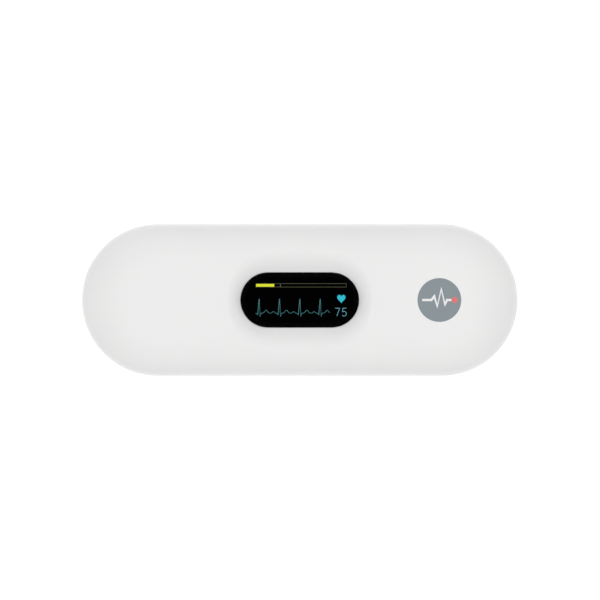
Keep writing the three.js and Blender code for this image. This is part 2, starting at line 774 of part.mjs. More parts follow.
const [radioX] = placeOnBoard(radioShares);
const onRadioZ = chipBackZ + radioThickness + seatGap;
const shieldX = radioX + radioLength / 2 - radioMargin - shieldLength / 2;
const antennaX = radioX - radioLength / 2 + radioMargin + antennaLength / 2;
const shieldCan = block(shieldLength, shieldWidth, onRadioZ, onRadioZ + shieldHeight);
const antenna = block(antennaLength, antennaWidth, onRadioZ, onRadioZ + antennaHeight);
addPiece("radio_shield", shieldCan, nickelShell, shieldX);
addPiece("radio_antenna", antenna, tanCeramic, antennaX);

// Charging socket: a steel cup on its side, open towards the end of the body, with a contact tongue

const cupWall = 0.3;
const tongueLength = 5.2;
const tongueWidth = 6.6;
const tongueThickness = 0.7;

function chargingCup() {
  const cup = drawnOut(pillShape(socketHalf, socketRadius), "x", socketBackX, socketMouthX);
  const innerShape = pillShape(socketHalf, socketRadius - cupWall);
  const hollow = drawnOut(innerShape, "x", socketBackX + cupWall, socketMouthX + cutOverrun);
  return geometryOf(solidOf(cup).subtract(solidOf(hollow)));
}

const tongueX = socketBackX + cupWall + seatGap + tongueLength / 2;
const tongue = new THREE.BoxGeometry(tongueLength, tongueWidth, tongueThickness);
addPiece("charge_socket", chargingCup(), nickelShell, 0, 0, partZ);
addPiece("charge_tongue", tongue, blackEpoxy, tongueX, 0, partZ);

// Battery plug, its connector under the board, and the two leads that reach it over the left rib

const plugLength = 3.2;
const plugWidth = 5.4;
const plugHeight = 2.2;
const connectorLength = 3.4;
const connectorWidth = 7.2;
const connectorHeight = 2.6;
const leadRadius = 0.42;
const leadSpacing = 2;
const leadRun = 1.2; // straight out of the cell, and straight into the plug
const leadSteps = 8;

const plugFaceX = -screwX;
const plugZ = boardBackZ - seatGap - connectorHeight / 2;
const plugX = plugFaceX - plugLength / 2;
const connectorX = plugFaceX - plugLength - seatGap - connectorLength / 2;
const leadCellZ = (floorZ + cellRibHeight + cellTopZ) / 2;
const plug = new THREE.BoxGeometry(plugLength, plugWidth, plugHeight);
const connector = new THREE.BoxGeometry(connectorLength, connectorWidth, connectorHeight);
addPiece("battery_plug", plug, creamNylon, plugX, 0, plugZ);
addPiece("battery_connector", connector, creamNylon, connectorX, 0, plugZ);

function batteryLead(side) {
  const y = (side * leadSpacing) / 2;
  const route = [
    [-cellEndX - seatGap, leadCellZ],
    [-cellEndX - seatGap - leadRun, leadCellZ],
    [plugFaceX + seatGap + leadRun, plugZ],
    [plugFaceX + seatGap, plugZ],
  ].map(([x, z]) => new THREE.Vector3(x, y, z));
  const lastAngle = 2 * Math.PI * (1 - 1 / wireSides);
  const rim = arcPoints(0, 0, leadRadius, 0, lastAngle, wireSides - 1);
  const section = new THREE.Shape(rim.map(([a, b]) => new THREE.Vector2(a, b)));
  const extrudePath = new THREE.CatmullRomCurve3(route);
  return new THREE.ExtrudeGeometry(section, { steps: leadSteps, extrudePath });
}

addPiece("battery_red_lead", batteryLead(1), redSleeve);
addPiece("battery_black_lead", batteryLead(-1), blackSleeve);

// Power button, and the side-acting switch on the underside of the board

const switchLength = 4.6;
const switchDepth = 2;
const switchHeight = 3.2;
const plungerLength = 1.6;
const plungerHeight = 0.9;
const plungerOut = 0.5; // how far it stands out of the switch at rest
const plungerIn = 0.8; // how far it reaches into the switch at rest
const plungerGap = 0.12;
const plungerSpare = 0.15; // behind the plunger at full travel

const plungerTipY = pipTipY - seatGap;
const switchFaceY = plungerTipY - plungerOut;
const switchTopZ = boardBackZ - seatGap;

function powerButton() {
  const cap = drawnOut(pillShape(buttonHalf, buttonRadius), "y", wingInnerY, buttonFaceY, buttonBevel);
  const wings = new THREE.BoxGeometry(buttonLength + 2 * wingLength, wingThickness, wingHeight);
  const pip = new THREE.CylinderGeometry(pipRadius, pipRadius, pipLength + wingThickness, roundSteps);
  wings.translate(0, (wingInnerY + wingOuterY) / 2, 0);
  pip.translate(0, (pipTipY + wingOuterY) / 2, 0);
  return geometryOf(solidOf(cap).add(solidOf(wings)).add(solidOf(pip)));
}

function switchBody() {
  const body = block(switchLength, switchDepth, switchTopZ - switchHeight, switchTopZ);
  const cavityDepth = plungerIn + buttonTravel + plungerSpare;
  const cavity = new THREE.BoxGeometry(
    plungerLength + 2 * plungerGap,
    cavityDepth + cutOverrun,
    plungerHeight + 2 * plungerGap,
  );
  body.translate(0, switchFaceY - switchDepth / 2, 0);
  cavity.translate(0, switchFaceY + (cutOverrun - cavityDepth) / 2, partZ);
  return geometryOf(solidOf(body).subtract(solidOf(cavity)));
}

const plungerY = plungerTipY - (plungerOut + plungerIn) / 2;
const plunger = new THREE.BoxGeometry(plungerLength, plungerOut + plungerIn, plungerHeight);
addPiece("power_button", powerButton(), whitePlastic, 0, 0, partZ);
addPiece("switch_body", switchBody(), blackEpoxy);
addPiece("switch_plunger", plunger, creamNylon, 0, plungerY, partZ);

export default monitor;
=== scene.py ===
# A pocket ECG monitor, dressed for its picture: a white pill-shaped recorder with a small window in a dish.
# Each section is one piece or a group of like pieces, in the order in which the monitor is put together.
# Lengths are in millimetres until a mesh is made. X runs along the body, Y across it, Z out of the window.
import bmesh
import bpy
import numpy as np
from mathutils.geometry import tessellate_polygon
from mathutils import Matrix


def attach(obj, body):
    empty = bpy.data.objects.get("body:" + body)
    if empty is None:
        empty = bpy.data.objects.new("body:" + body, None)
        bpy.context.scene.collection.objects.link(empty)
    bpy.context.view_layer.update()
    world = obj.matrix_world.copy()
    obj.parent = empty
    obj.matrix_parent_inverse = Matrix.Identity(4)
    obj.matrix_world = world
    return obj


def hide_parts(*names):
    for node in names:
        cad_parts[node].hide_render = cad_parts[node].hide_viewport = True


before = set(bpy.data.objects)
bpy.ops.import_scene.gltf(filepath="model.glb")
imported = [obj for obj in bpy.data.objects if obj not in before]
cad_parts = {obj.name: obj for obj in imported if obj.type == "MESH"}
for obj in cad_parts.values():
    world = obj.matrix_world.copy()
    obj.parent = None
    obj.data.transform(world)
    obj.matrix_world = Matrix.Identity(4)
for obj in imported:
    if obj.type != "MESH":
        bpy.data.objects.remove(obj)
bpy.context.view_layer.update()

# Front shell
# The upper half of the body, injection moulded in white ABS with a satin skin. Its roof dips to a flat floor
# round the window, and its edge is cut out round the charging socket and the power button.

MM = 0.001
BODY_LENGTH = 104
BODY_WIDTH = 36.3
FRONT_DEPTH = 9.3
REAR_DEPTH = 4.5
SIDE_WALL = 1.8
ROOF_WALL = 1.6
FLOOR_WALL = 1.5
ELECTRODE_PROUD = 0.3
SEAM_GAP = 0.15
SEAT_GAP = 0.05
SLIP_GAP = 0.12
HALF_LENGTH = BODY_LENGTH / 2
END_RADIUS = BODY_WIDTH / 2
HALF_STRAIGHT = HALF_LENGTH - END_RADIUS
INNER_RADIUS = END_RADIUS - SIDE_WALL
BACK_Z = ELECTRODE_PROUD
FLOOR_Z = BACK_Z + FLOOR_WALL
PART_Z = BACK_Z + REAR_DEPTH
CROWN_Z = PART_Z + FRONT_DEPTH

WINDOW_LENGTH = 28.15
WINDOW_WIDTH = 13.05
WINDOW_GAP = 0.08
WINDOW_LAND = 0.2
DISH_DEPTH = 2.3
DISH_HALF_LENGTH = 18.3
DISH_HALF_WIDTH = 12.9
RIM_POWER = 3
DISH_POWER = 1.9
WINDOW_RADIUS = WINDOW_WIDTH / 2
WINDOW_HALF = WINDOW_LENGTH / 2 - WINDOW_RADIUS
LAND_RADIUS = WINDOW_RADIUS + WINDOW_LAND
DISH_FLOOR_Z = CROWN_Z - DISH_DEPTH
CEILING_Z = DISH_FLOOR_Z - ROOF_WALL
VIEW_RADIUS = 5.525
LEDGE_Z = 10.7

ROOF_POWER = 4.7
CROWN_DROP = 2.6
CROWN_POWER = 2
EDGE_SHARE = 0.75

SOCKET_HALF = 2.87
SOCKET_RADIUS = 1.6
PORT_GAP = 0.2
PORT_RADIUS = SOCKET_RADIUS + PORT_GAP
BUTTON_HALF = 3.7
BUTTON_RADIUS = 1.3
BUTTON_GAP = 0.15
BUTTON_HOLE_RADIUS = BUTTON_RADIUS + BUTTON_GAP
LIP_THICKNESS = 0.75
LIP_HEIGHT = 0.9
LIP_GAP = 0.15
EDGE_ROUND = 0.1

# How many points go round each end, along each side and round each opening, and up the walls.
ARC_COLUMNS = 48
STRAIGHT_COLUMNS = 40
OPENING_COLUMNS = 12
PAST_OPENING_SHARE = 1.01
TRACK_DIGITS = 5
SIDE_RINGS = 26
TOP_RINGS = 44
TOP_CROWDING = 1.4
HOLLOW_SIDE_RINGS = 10
HOLLOW_TOP_RINGS = 14
# Points that are closer than this are one point, and edges that turn by more than this stay sharp.
MERGE_DISTANCE = 0.0005
SHARP_DEGREES = 40
NEARLY_NOTHING = 1e-9


def linear(code, alpha=1):
    """An sRGB hex colour as linear light: divided by 12.92 in the darks, and raised to 2.4 above them."""
    values = [int(code[i : i + 2], 16) / 255 for i in (0, 2, 4)]
    light = [v / 12.92 if v <= 0.04045 else ((v + 0.055) / 1.055) ** 2.4 for v in values]
    return (*light, alpha)


def add_node(tree, kind, inputs=None, **settings):
    """Adds a shader node. An input is a value, another node's output, or a node, for its first output."""
    node = tree.nodes.new("ShaderNode" + kind)
    for name, value in settings.items():
        setattr(node, name, value)
    for name, value in (inputs or {}).items():
        source = value.outputs[0] if isinstance(value, bpy.types.Node) else value
        if isinstance(source, bpy.types.NodeSocket):
            tree.links.new(source, node.inputs[name])
        else:
            node.inputs[name].default_value = source
    return node


def blank_material(name):
    """A material, its empty node tree, and the place on the object that its patterns read."""
    material = bpy.data.materials.new(name)
    material.use_nodes = True
    tree = material.node_tree
    tree.nodes.clear()
    return material, tree, add_node(tree, "TexCoord").outputs["Object"]


def two_coloured(material, pattern, dark, light, height, depth_mm, looks):
    """Ends a material: a pattern mixes its two colours, and a pattern, the same or another, is its relief."""
    tree = material.node_tree
    colour = add_node(tree, "MixRGB", {"Fac": pattern, "Color1": linear(dark), "Color2": linear(light)})
    relief = add_node(tree, "Bump", {"Height": height, "Distance": depth_mm * MM, "Strength": 1})
    surface = add_node(tree, "BsdfPrincipled", {"Base Color": colour, "Normal": relief, **looks})
    add_node(tree, "OutputMaterial", {"Surface": surface})
    return material


def moulded(name, dark, light, roughness, patch_mm, grain_mm, depth_mm, ior=1.5, spread=0.05):
    """A moulded or cast surface: two near colours in soft patches, and a fine grain in its relief."""
    material, tree, place = blank_material(name)
    patches = add_node(tree, "TexNoise", {"Vector": place, "Scale": 1 / (patch_mm * MM), "Detail": 3})
    grain = add_node(tree, "TexNoise", {"Vector": place, "Scale": 1 / (grain_mm * MM), "Detail": 2})
    gloss_range = {"To Min": roughness - spread, "To Max": roughness + spread}
    gloss = add_node(tree, "MapRange", {"Value": patches, **gloss_range})
    return two_coloured(material, patches, dark, light, grain, depth_mm, {"Roughness": gloss, "IOR": ior})


def pill_track(arc_turns, straight_shares):
    """The columns round a pill: side goes from -1 to 1 along its straight part, turn goes round its ends."""
    ones = np.ones(len(arc_turns))
    right_angle = np.full(len(straight_shares), np.pi / 2)
    side = np.concatenate([ones, straight_shares, -ones, -straight_shares])
    turn = np.concatenate([arc_turns, right_angle, arc_turns + np.pi, -right_angle])
    return side, turn


def even_track(arc_steps, straight_steps):
    """A track of evenly spaced columns, each quarter turn and each end of a straight counted once."""
    turns = np.linspace(-np.pi / 2, np.pi / 2, arc_steps + 1)[:-1]
    return pill_track(turns, np.linspace(1, -1, straight_steps + 1)[:-1])


def pill_points(track, half, reach):
    """x = side * half + reach * cos(turn), y = reach * sin(turn)."""
    side, turn = track
    return side * half + reach * np.cos(turn), reach * np.sin(turn)


def grid_faces(rows, columns, rows_closed=False):
    """Quads between neighbouring points of a grid that is stored row by row, and whose columns go round."""
    row = np.arange(rows if rows_closed else rows - 1)[:, None]
    column = np.arange(columns)[None, :]
    next_row = (row + 1) % rows
    next_column = (column + 1) % columns
    corners = (
        row * columns + column,
        row * columns + next_column,
        next_row * columns + next_column,
        next_row * columns + column,
    )
    return np.stack(np.broadcast_arrays(*corners), axis=-1).reshape(-1, 4)


def rows_part(rows, rows_closed=False):
    """Rings of x, y and z arrays, one after another, as points and the quads between them."""
    stacked = np.array([np.stack(np.broadcast_arrays(*row), axis=-1) for row in rows])
    count, columns = stacked.shape[:2]
    return stacked.reshape(-1, 3), grid_faces(count, columns, rows_closed).tolist()


def sheet_part(outlines, height):
    """Triangles that fill the first outline, less the others, at one height."""
    loops = [[(x, y, 0) for x, y in outline.tolist()] for outline in outlines]
    flat = np.vstack(outlines)
    points = np.column_stack([flat, np.broadcast_to(height, len(flat))])
    return points, [list(corners) for corners in tessellate_polygon(loops)]


def make_piece(name, parts, material, stands_for=(), body="case"):
    """One mesh from parts in millimetres, merged, with faces outwards, and smooth but for sharp edges."""
    points = []
    faces = []
    for part_points, part_faces in parts:
        faces += [[corner + len(points) for corner in face] for face in part_faces]
        points += (np.asarray(part_points) * MM).tolist()
    mesh = bpy.data.meshes.new(name)
    mesh.from_pydata(points, [], faces)
    shape = bmesh.new()
    shape.from_mesh(mesh)
    bmesh.ops.remove_doubles(shape, verts=shape.verts, dist=MERGE_DISTANCE * MM)
    bmesh.ops.recalc_face_normals(shape, faces=shape.faces)
    if shape.calc_volume(signed=True) < 0:
        bmesh.ops.reverse_faces(shape, faces=shape.faces)
    shape.to_mesh(mesh)
    shape.free()
    mesh.shade_smooth()
    mesh.set_sharp_from_angle(angle=np.radians(SHARP_DEGREES))
    mesh.materials.append(material)
    piece = bpy.data.objects.new(name, mesh)
    bpy.context.scene.collection.objects.link(piece)
    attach(piece, body)
    if stands_for:
        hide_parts(*stands_for)


def dish_climb(x, y):
    """0 on the dish floor and 1 past its rim: 1 - (to_rim / (past_window + to_rim)) ** power."""
    past_window = np.maximum(0, np.hypot(np.maximum(0, abs(x) - WINDOW_HALF), y) - LAND_RADIUS)
    out = (abs(x) / DISH_HALF_LENGTH) ** RIM_POWER + (abs(y) / DISH_HALF_WIDTH) ** RIM_POWER
    to_rim = DISH_HALF_WIDTH * (1 - out ** (1 / RIM_POWER))
    inside = np.maximum(to_rim, 0)
    return 1 - (inside / np.maximum(past_window + inside, NEARLY_NOTHING)) ** DISH_POWER


def crown_drop(x):
    """How much lower the crown line is than at the middle: drop * (|x| / half length) ** power."""
    return CROWN_DROP * (abs(x) / HALF_LENGTH) ** CROWN_POWER


def roof_height(x, y, rise, depth, dish_floor):
    """The crown line drops towards the ends, rise shapes the cross-section, and the dish cuts into it."""
    return dish_floor + (PART_Z + (depth - crown_drop(x)) * rise - dish_floor) * dish_climb(x, y)


def roof_surface(x, y, radius=END_RADIUS, depth=FRONT_DEPTH, dish_floor=DISH_FLOOR_Z):
    """Height over a place: rise = (1 - out ** p) ** (1 / p), out = the distance from the spine / radius."""
    out = np.minimum(1, np.hypot(np.maximum(0, abs(x) - HALF_STRAIGHT), y) / radius)
    return roof_height(x, y, (1 - out**ROOF_POWER) ** (1 / ROOF_POWER), depth, dish_floor)


def shell_track():
    """Columns of both shells: even ones, and close ones where the round ends of the two openings pass."""
    round_end = np.append(np.sin(np.linspace(0, np.pi / 2, OPENING_COLUMNS + 1)), PAST_OPENING_SHARE)
    port_turn = np.arcsin((SOCKET_HALF + PORT_RADIUS * round_end) / END_RADIUS)
    button_share = (BUTTON_HALF + BUTTON_HOLE_RADIUS * round_end) / HALF_STRAIGHT
    turns = np.concatenate([np.linspace(-np.pi / 2, np.pi / 2, ARC_COLUMNS + 1)[:-1], port_turn, -port_turn])
    shares = np.concatenate([np.linspace(1, -1, STRAIGHT_COLUMNS + 1)[:-1], button_share, -button_share])
    return pill_track(np.unique(turns.round(TRACK_DIGITS)), np.unique(shares.round(TRACK_DIGITS))[::-1])


SHELL_TRACK = shell_track()


def pill_half_height(place, half, radius):
    """Half height of a lying pill at a place along it: the root of radius ** 2 - (|place| - half) ** 2."""
    return np.sqrt(np.maximum(0, radius**2 - np.maximum(0, abs(place) - half) ** 2))


def notch(x, y):
    """How far a shell's edge keeps from the parting plane: round the two openings, else half the seam."""
    port = np.where(x > HALF_STRAIGHT, pill_half_height(y, SOCKET_HALF, PORT_RADIUS), 0)
    far_side = (abs(x) < HALF_STRAIGHT) & (y > 0)
    button = np.where(far_side, pill_half_height(x, BUTTON_HALF, BUTTON_HOLE_RADIUS), 0)
    return np.maximum(SEAM_GAP / 2, np.maximum(port, button))


shell_notch = notch(*pill_points(SHELL_TRACK, HALF_STRAIGHT, END_RADIUS))


def wall_points(reach):
    """A ring inside the wall. Its columns near the socket keep the outline's y, so the opening is square."""
    side, turn = SHELL_TRACK
    outline_y = END_RADIUS * np.sin(turn)
    keep = np.clip((2 * SOCKET_HALF + PORT_RADIUS - abs(outline_y)) / SOCKET_HALF, 0, 1)
    keep = np.where(abs(side) == 1, keep, 0)
    y = reach * np.sin(turn) + (END_RADIUS - reach) * np.sin(turn) * keep
    return side * HALF_STRAIGHT + np.sign(np.cos(turn)) * np.sqrt(np.maximum(0, reach**2 - y**2)), y


def wall_row(reach, height):
    return (*wall_points(reach), height)


def window_row(radius, height):
    return (*pill_points(SHELL_TRACK, WINDOW_HALF, radius), height)


def roof_side(radius, depth, dish_floor, foot_z, count):
    """Rings up the steep side from the foot: reach = radius * cos(a) ** (2 / p), rise = sin(a) ** (2 / p)."""
    last = np.arccos(EDGE_SHARE ** (ROOF_POWER / 2))
    x, y = wall_points(radius)
    first = np.arcsin(((foot_z - PART_Z) / (depth - crown_drop(x))) ** (ROOF_POWER / 2))
    rows = []
    for share in np.linspace(0, 1, count):
        angle = first + (last - first) * share
        x, y = wall_points(radius * np.cos(angle) ** (2 / ROOF_POWER))
        rise = np.sin(angle) ** (2 / ROOF_POWER)
        rows.append((x, y, roof_height(x, y, rise, depth, dish_floor)))
    return rows


def roof_top(radius, depth, dish_floor, count, crowding):
    """Rings over the top, from the body's outline to the window's, the closer together the nearer to it."""
    rows = []
    for share in np.linspace(1, 0, count) ** crowding:
        half = WINDOW_HALF + (HALF_STRAIGHT - WINDOW_HALF) * share
        reach = LAND_RADIUS + (radius * EDGE_SHARE - LAND_RADIUS) * share
        x, y = pill_points(SHELL_TRACK, half, reach)
        rows.append((x, y, roof_surface(x, y, radius, depth, dish_floor)))
    return rows


def quarter_round(steps=4):
    """Pairs of sine and cosine over a quarter turn, for a rounded edge."""
    angles = np.linspace(0, np.pi / 2, steps)
    return list(zip(np.sin(angles), np.cos(angles)))


def front_shell_rows():
    """The wall's profile, carried round the body: up the skin, down the pocket, and back under the roof."""
    foot_z = PART_Z + shell_notch
    round_z = foot_z + EDGE_ROUND
    rows = []
    for out, up in quarter_round():
        rows.append(wall_row(END_RADIUS - EDGE_ROUND * (1 - out), round_z - EDGE_ROUND * up))
    rows += roof_side(END_RADIUS, FRONT_DEPTH, DISH_FLOOR_Z, round_z, SIDE_RINGS)[1:]
    rows += roof_top(END_RADIUS, FRONT_DEPTH, DISH_FLOOR_Z, TOP_RINGS, TOP_CROWDING)[1:]
    pocket = WINDOW_RADIUS + WINDOW_GAP
    edge_z = DISH_FLOOR_Z - EDGE_ROUND
    for out, up in quarter_round():
        rows.append(window_row(pocket + EDGE_ROUND * (1 - out), edge_z + EDGE_ROUND * up))
    rows.append(window_row(pocket, LEDGE_Z))
    rows += [window_row(VIEW_RADIUS, height) for height in (LEDGE_Z, CEILING_Z)]
    hollow_depth = FRONT_DEPTH - ROOF_WALL
    rebate = INNER_RADIUS + LIP_THICKNESS + LIP_GAP
    rebate_z = np.maximum(PART_Z + LIP_HEIGHT + LIP_GAP, foot_z + SEAT_GAP)
    rows += roof_top(INNER_RADIUS, hollow_depth, CEILING_Z, HOLLOW_TOP_RINGS, 1)[::-1]
    rows += roof_side(INNER_RADIUS, hollow_depth, CEILING_Z, rebate_z, HOLLOW_SIDE_RINGS)[::-1]
    return [*rows, wall_row(rebate, rebate_z), wall_row(rebate, foot_z)]


# ABS, moulded against a finely blasted tool: an even off-white with a soft sheen. Its grain hardly shows.
white_abs = moulded(
    "satin_white_abs", "EBEBEB", "EFEFEE", 0.32, 9, grain_mm=0.28, depth_mm=0.0035, ior=1.53, spread=0.03
)
front_shell = rows_part(front_shell_rows(), rows_closed=True)
make_piece("front_shell_moulding", [front_shell], white_abs, ["front_shell"])

# Rear shell
# The lower half, moulded in the same ABS: a bowl with a flat back, pockets for two electrodes and four screw
# heads, a lip that plugs into the front shell, bosses for the screws and two ribs that hold the battery.

BACK_INSET = 4.7
BACK_POWER = 2.2
FLOOR_INSET = BACK_INSET * (REAR_DEPTH - FLOOR_WALL) / REAR_DEPTH
SCREW_X = 24.0
SCREW_Y = 11.25
SCREW_PLACES = ((SCREW_X, SCREW_Y), (-SCREW_X, SCREW_Y), (-SCREW_X, -SCREW_Y), (SCREW_X, -SCREW_Y))
HEAD_POCKET_RADIUS = 1.95
HEAD_POCKET_Z = 1.65
CLEARANCE_RADIUS = 1.15
BOSS_RADIUS = 2.55
REAR_BOSS_Z = 6.4
ELECTRODE_START_X = 28.55
ELECTRODE_RADIUS = 12.8
ELECTRODE_CORNER = 3
ELECTRODE_POCKET_Z = 1.05
STUD_X = 37.6
STUD_RADIUS = 1.6
RIB_X = 20.4
RIB_THICKNESS = 0.9
RIB_HALF_WIDTH = 6.16
RIB_HEIGHT = 1.6
BOWL_RINGS = 22
HOLLOW_BOWL_RINGS = 10


def circle(x, y, radius, count=48):
    """x + radius * cos(turn), y + radius * sin(turn)."""
    turn = np.linspace(0, 2 * np.pi, count + 1)[:-1]
    return np.column_stack([x + radius * np.cos(turn), y + radius * np.sin(turn)])


def arc(x, y, radius, start_degrees, end_degrees, count):
    """Part of a circle, both ends included."""
    turn = np.radians(np.linspace(start_degrees, end_degrees, count))
    return np.column_stack([x + radius * np.cos(turn), y + radius * np.sin(turn)])


def electrode_outline(grow, side):
    """A half round that follows the body's end, joined to a straight inner edge by two corner arcs."""
    corner_x = ELECTRODE_START_X + ELECTRODE_CORNER
    corner_y = ELECTRODE_RADIUS - ELECTRODE_CORNER
    tip = arc(HALF_STRAIGHT, 0, ELECTRODE_RADIUS + grow, -90, 90, 49)
    far = arc(corner_x, corner_y, ELECTRODE_CORNER + grow, 90, 180, 13)
    near = arc(corner_x, -corner_y, ELECTRODE_CORNER + grow, 180, 270, 13)
    return side * np.vstack([tip, far, near])


def wall_part(outline_at, profile):
    """An outline carried along a profile: each pair gives how far the outline grows and its height."""
    rows = []
    for grow, height in profile:
        outline = outline_at(grow)
        rows.append((outline[:, 0], outline[:, 1], height))
    return rows_part(rows)


def solid_parts(outline_at, profile):
    """A closed solid: an outline carried along a profile, with a sheet over each end."""
    sheets = [sheet_part([outline_at(grow)], height) for grow, height in (profile[0], profile[-1])]
    return [wall_part(outline_at, profile), *sheets]


def rounded_box(half_x, half_y, corner, x=0, y=0):
    """A rectangle with round corners, as a function of how far it grows."""

    def outline_at(grow):
        arcs = []
        for side_x, side_y, start in ((1, 1, 0), (-1, 1, 90), (-1, -1, 180), (1, -1, 270)):
            middle = (x + side_x * (half_x - corner), y + side_y * (half_y - corner))
            arcs.append(arc(*middle, corner + grow, start, start + 90, 6))
        return np.vstack(arcs)

    return outline_at


def bowl_angle(below_part, depth):
    """The angle a of bowl_rows for a point that is so far below the parting plane."""
    return np.arcsin(np.clip(below_part / depth, 0, 1) ** (BACK_POWER / 2))


def bowl_rows(radius, inset, depth, below_part, count):
    """Rings from the flat up to below_part under the parting plane, with a from a right angle down to there.

    reach = radius - inset * (1 - cos(a) ** (2 / p)), height = part - depth * sin(a) ** (2 / p).
    """
    power = 2 / BACK_POWER
    first = bowl_angle(below_part, depth)
    rows = []
    for share in np.linspace(1, 0, count):
        angle = first + (np.pi / 2 - first) * share
        reach = radius - inset * (1 - np.abs(np.cos(angle)) ** power)
        rows.append(wall_row(reach, PART_Z - depth * np.sin(angle) ** power))
    return rows


def pocket_mouth(edge):
    """The rounded edge of a pocket in the back, from its widest on the flat to the pocket's own wall."""
    return [(edge + EDGE_ROUND * (1 - out), BACK_Z + EDGE_ROUND * (1 - up)) for out, up in quarter_round()]


def bowl_wall():
    """The wall with its lip as one strip of rings, from the flat back's edge to the floor's edge."""
    edge_z = PART_Z - shell_notch - EDGE_ROUND
    rows = bowl_rows(END_RADIUS, BACK_INSET, REAR_DEPTH, PART_Z - edge_z, BOWL_RINGS)
    rim_angle = bowl_angle(PART_Z - edge_z, REAR_DEPTH)
    rim_reach = END_RADIUS - BACK_INSET * (1 - np.cos(rim_angle) ** (2 / BACK_POWER))
    for up, along in quarter_round()[1:]:
        rows.append(wall_row(rim_reach - EDGE_ROUND * (1 - along), edge_z + EDGE_ROUND * up))
    rim_z = PART_Z - shell_notch
    cut_out = shell_notch > SEAM_GAP
    lip_top = np.where(cut_out, rim_z + SEAT_GAP, PART_Z + LIP_HEIGHT)
    below_lip = np.where(cut_out, shell_notch + SEAT_GAP, SEAT_GAP)
    lip_radius = INNER_RADIUS + LIP_THICKNESS
    rows += [wall_row(lip_radius, rim_z), wall_row(lip_radius, lip_top), wall_row(INNER_RADIUS, lip_top)]
    return rows + bowl_rows(INNER_RADIUS, FLOOR_INSET, PART_Z - FLOOR_Z, below_lip, HOLLOW_BOWL_RINGS)[::-1]


def rear_shell_parts():
    """The wall, then the electrodes' and screws' pockets, then the flats with their holes, and the ribs."""
    rows = bowl_wall()
    back_holes = []
    floor_holes = []
    parts = [rows_part(rows)]
    for side in (1, -1):
        pocket = [*pocket_mouth(SLIP_GAP), (SLIP_GAP, ELECTRODE_POCKET_Z)]
        outline_at = lambda grow: electrode_outline(grow, side)
        stud_at = lambda grow: circle(side * STUD_X, 0, STUD_RADIUS + grow)
        parts.append(wall_part(outline_at, pocket))
        parts.append(sheet_part([outline_at(SLIP_GAP), stud_at(SLIP_GAP)], ELECTRODE_POCKET_Z))
        parts.append(wall_part(stud_at, [(SLIP_GAP, ELECTRODE_POCKET_Z), (SLIP_GAP, FLOOR_Z)]))
        back_holes.append(outline_at(pocket[0][0]))
        floor_holes.append(stud_at(SLIP_GAP))
    for x, y in SCREW_PLACES:
        hole = [*pocket_mouth(HEAD_POCKET_RADIUS), (HEAD_POCKET_RADIUS, HEAD_POCKET_Z)]
        hole += [(CLEARANCE_RADIUS, HEAD_POCKET_Z), (CLEARANCE_RADIUS, FLOOR_Z)]
        round_at = lambda radius: circle(x, y, radius)
        parts.append(wall_part(round_at, hole))
        back_holes.append(round_at(hole[0][0]))
        floor_holes.append(round_at(CLEARANCE_RADIUS))
        foot_z = HEAD_POCKET_Z + SEAT_GAP
        bore = CLEARANCE_RADIUS + SEAT_GAP
        boss = [(bore, foot_z), (bore, REAR_BOSS_Z), (BOSS_RADIUS, REAR_BOSS_Z), (BOSS_RADIUS, foot_z)]
        parts.append(wall_part(round_at, [*boss, boss[0]]))
    parts.append(sheet_part([np.column_stack(rows[0][:2]), *back_holes], BACK_Z))
    parts.append(sheet_part([np.column_stack(rows[-1][:2]), *floor_holes], FLOOR_Z))
    for side in (1, -1):
        rib_at = rounded_box(RIB_THICKNESS / 2, RIB_HALF_WIDTH, EDGE_ROUND, side * RIB_X)
        parts += solid_parts(rib_at, [(0, HEAD_POCKET_Z), (0, FLOOR_Z + RIB_HEIGHT)])
    return parts


make_piece("rear_shell_moulding", rear_shell_parts(), white_abs, ["rear_shell"])

# Case screws
# Four pan-head screws of nickel-plated steel, sunk in the back. Each passes the rear boss and the board, and
# bites into the front shell. The cross recess is cold formed, so its walls lean in.

SCREW_HEAD_RADIUS = 1.75
SCREW_HEAD_HEIGHT = 1.1
SCREW_BACK_Z = 0.5
SCREW_TIP_Z = 10.1
SCREW_SHANK_RADIUS = 0.95
SCREW_TIP_RADIUS = 0.35
SCREW_TIP_LENGTH = 0.6
HEAD_ROUND = 0.3
CROSS_HALF_LENGTH = 1
CROSS_HALF_WIDTH = 0.18
CROSS_DEPTH = 0.6
CROSS_LEAN = 0.07
METAL_SPREAD = 0.08


def plated(name, dark, light, roughness, grain_mm, depth_mm, stretch=(1, 1, 1), anisotropic=0):
    """Bare or plated metal: a grain in its gloss and relief, drawn out along one way where it is brushed."""
    material, tree, place = blank_material(name)
    drawn = add_node(tree, "Mapping", {"Vector": place, "Scale": stretch})
    grain = add_node(tree, "TexNoise", {"Vector": drawn, "Scale": 1 / (grain_mm * MM), "Detail": 4})
    gloss_range = {"To Min": roughness - METAL_SPREAD, "To Max": roughness + METAL_SPREAD}
    gloss = add_node(tree, "MapRange", {"Value": grain, **gloss_range})
    looks = {"Metallic": 1, "Roughness": gloss, "Anisotropic": anisotropic}
    return two_coloured(material, grain, dark, light, grain, depth_mm, looks)


def cross_outline(x, y, shrink):
    """A plus sign of twelve corners: the three of one quarter, turned three times by a right angle."""
    long_side = CROSS_HALF_LENGTH - shrink
    wide_side = CROSS_HALF_WIDTH - shrink
    corners = [np.array([[long_side, wide_side], [wide_side, wide_side], [wide_side, long_side]])]
    for _ in range(3):
        corners.append(np.column_stack([-corners[-1][:, 1], corners[-1][:, 0]]))
    return np.vstack(corners) + (x, y)


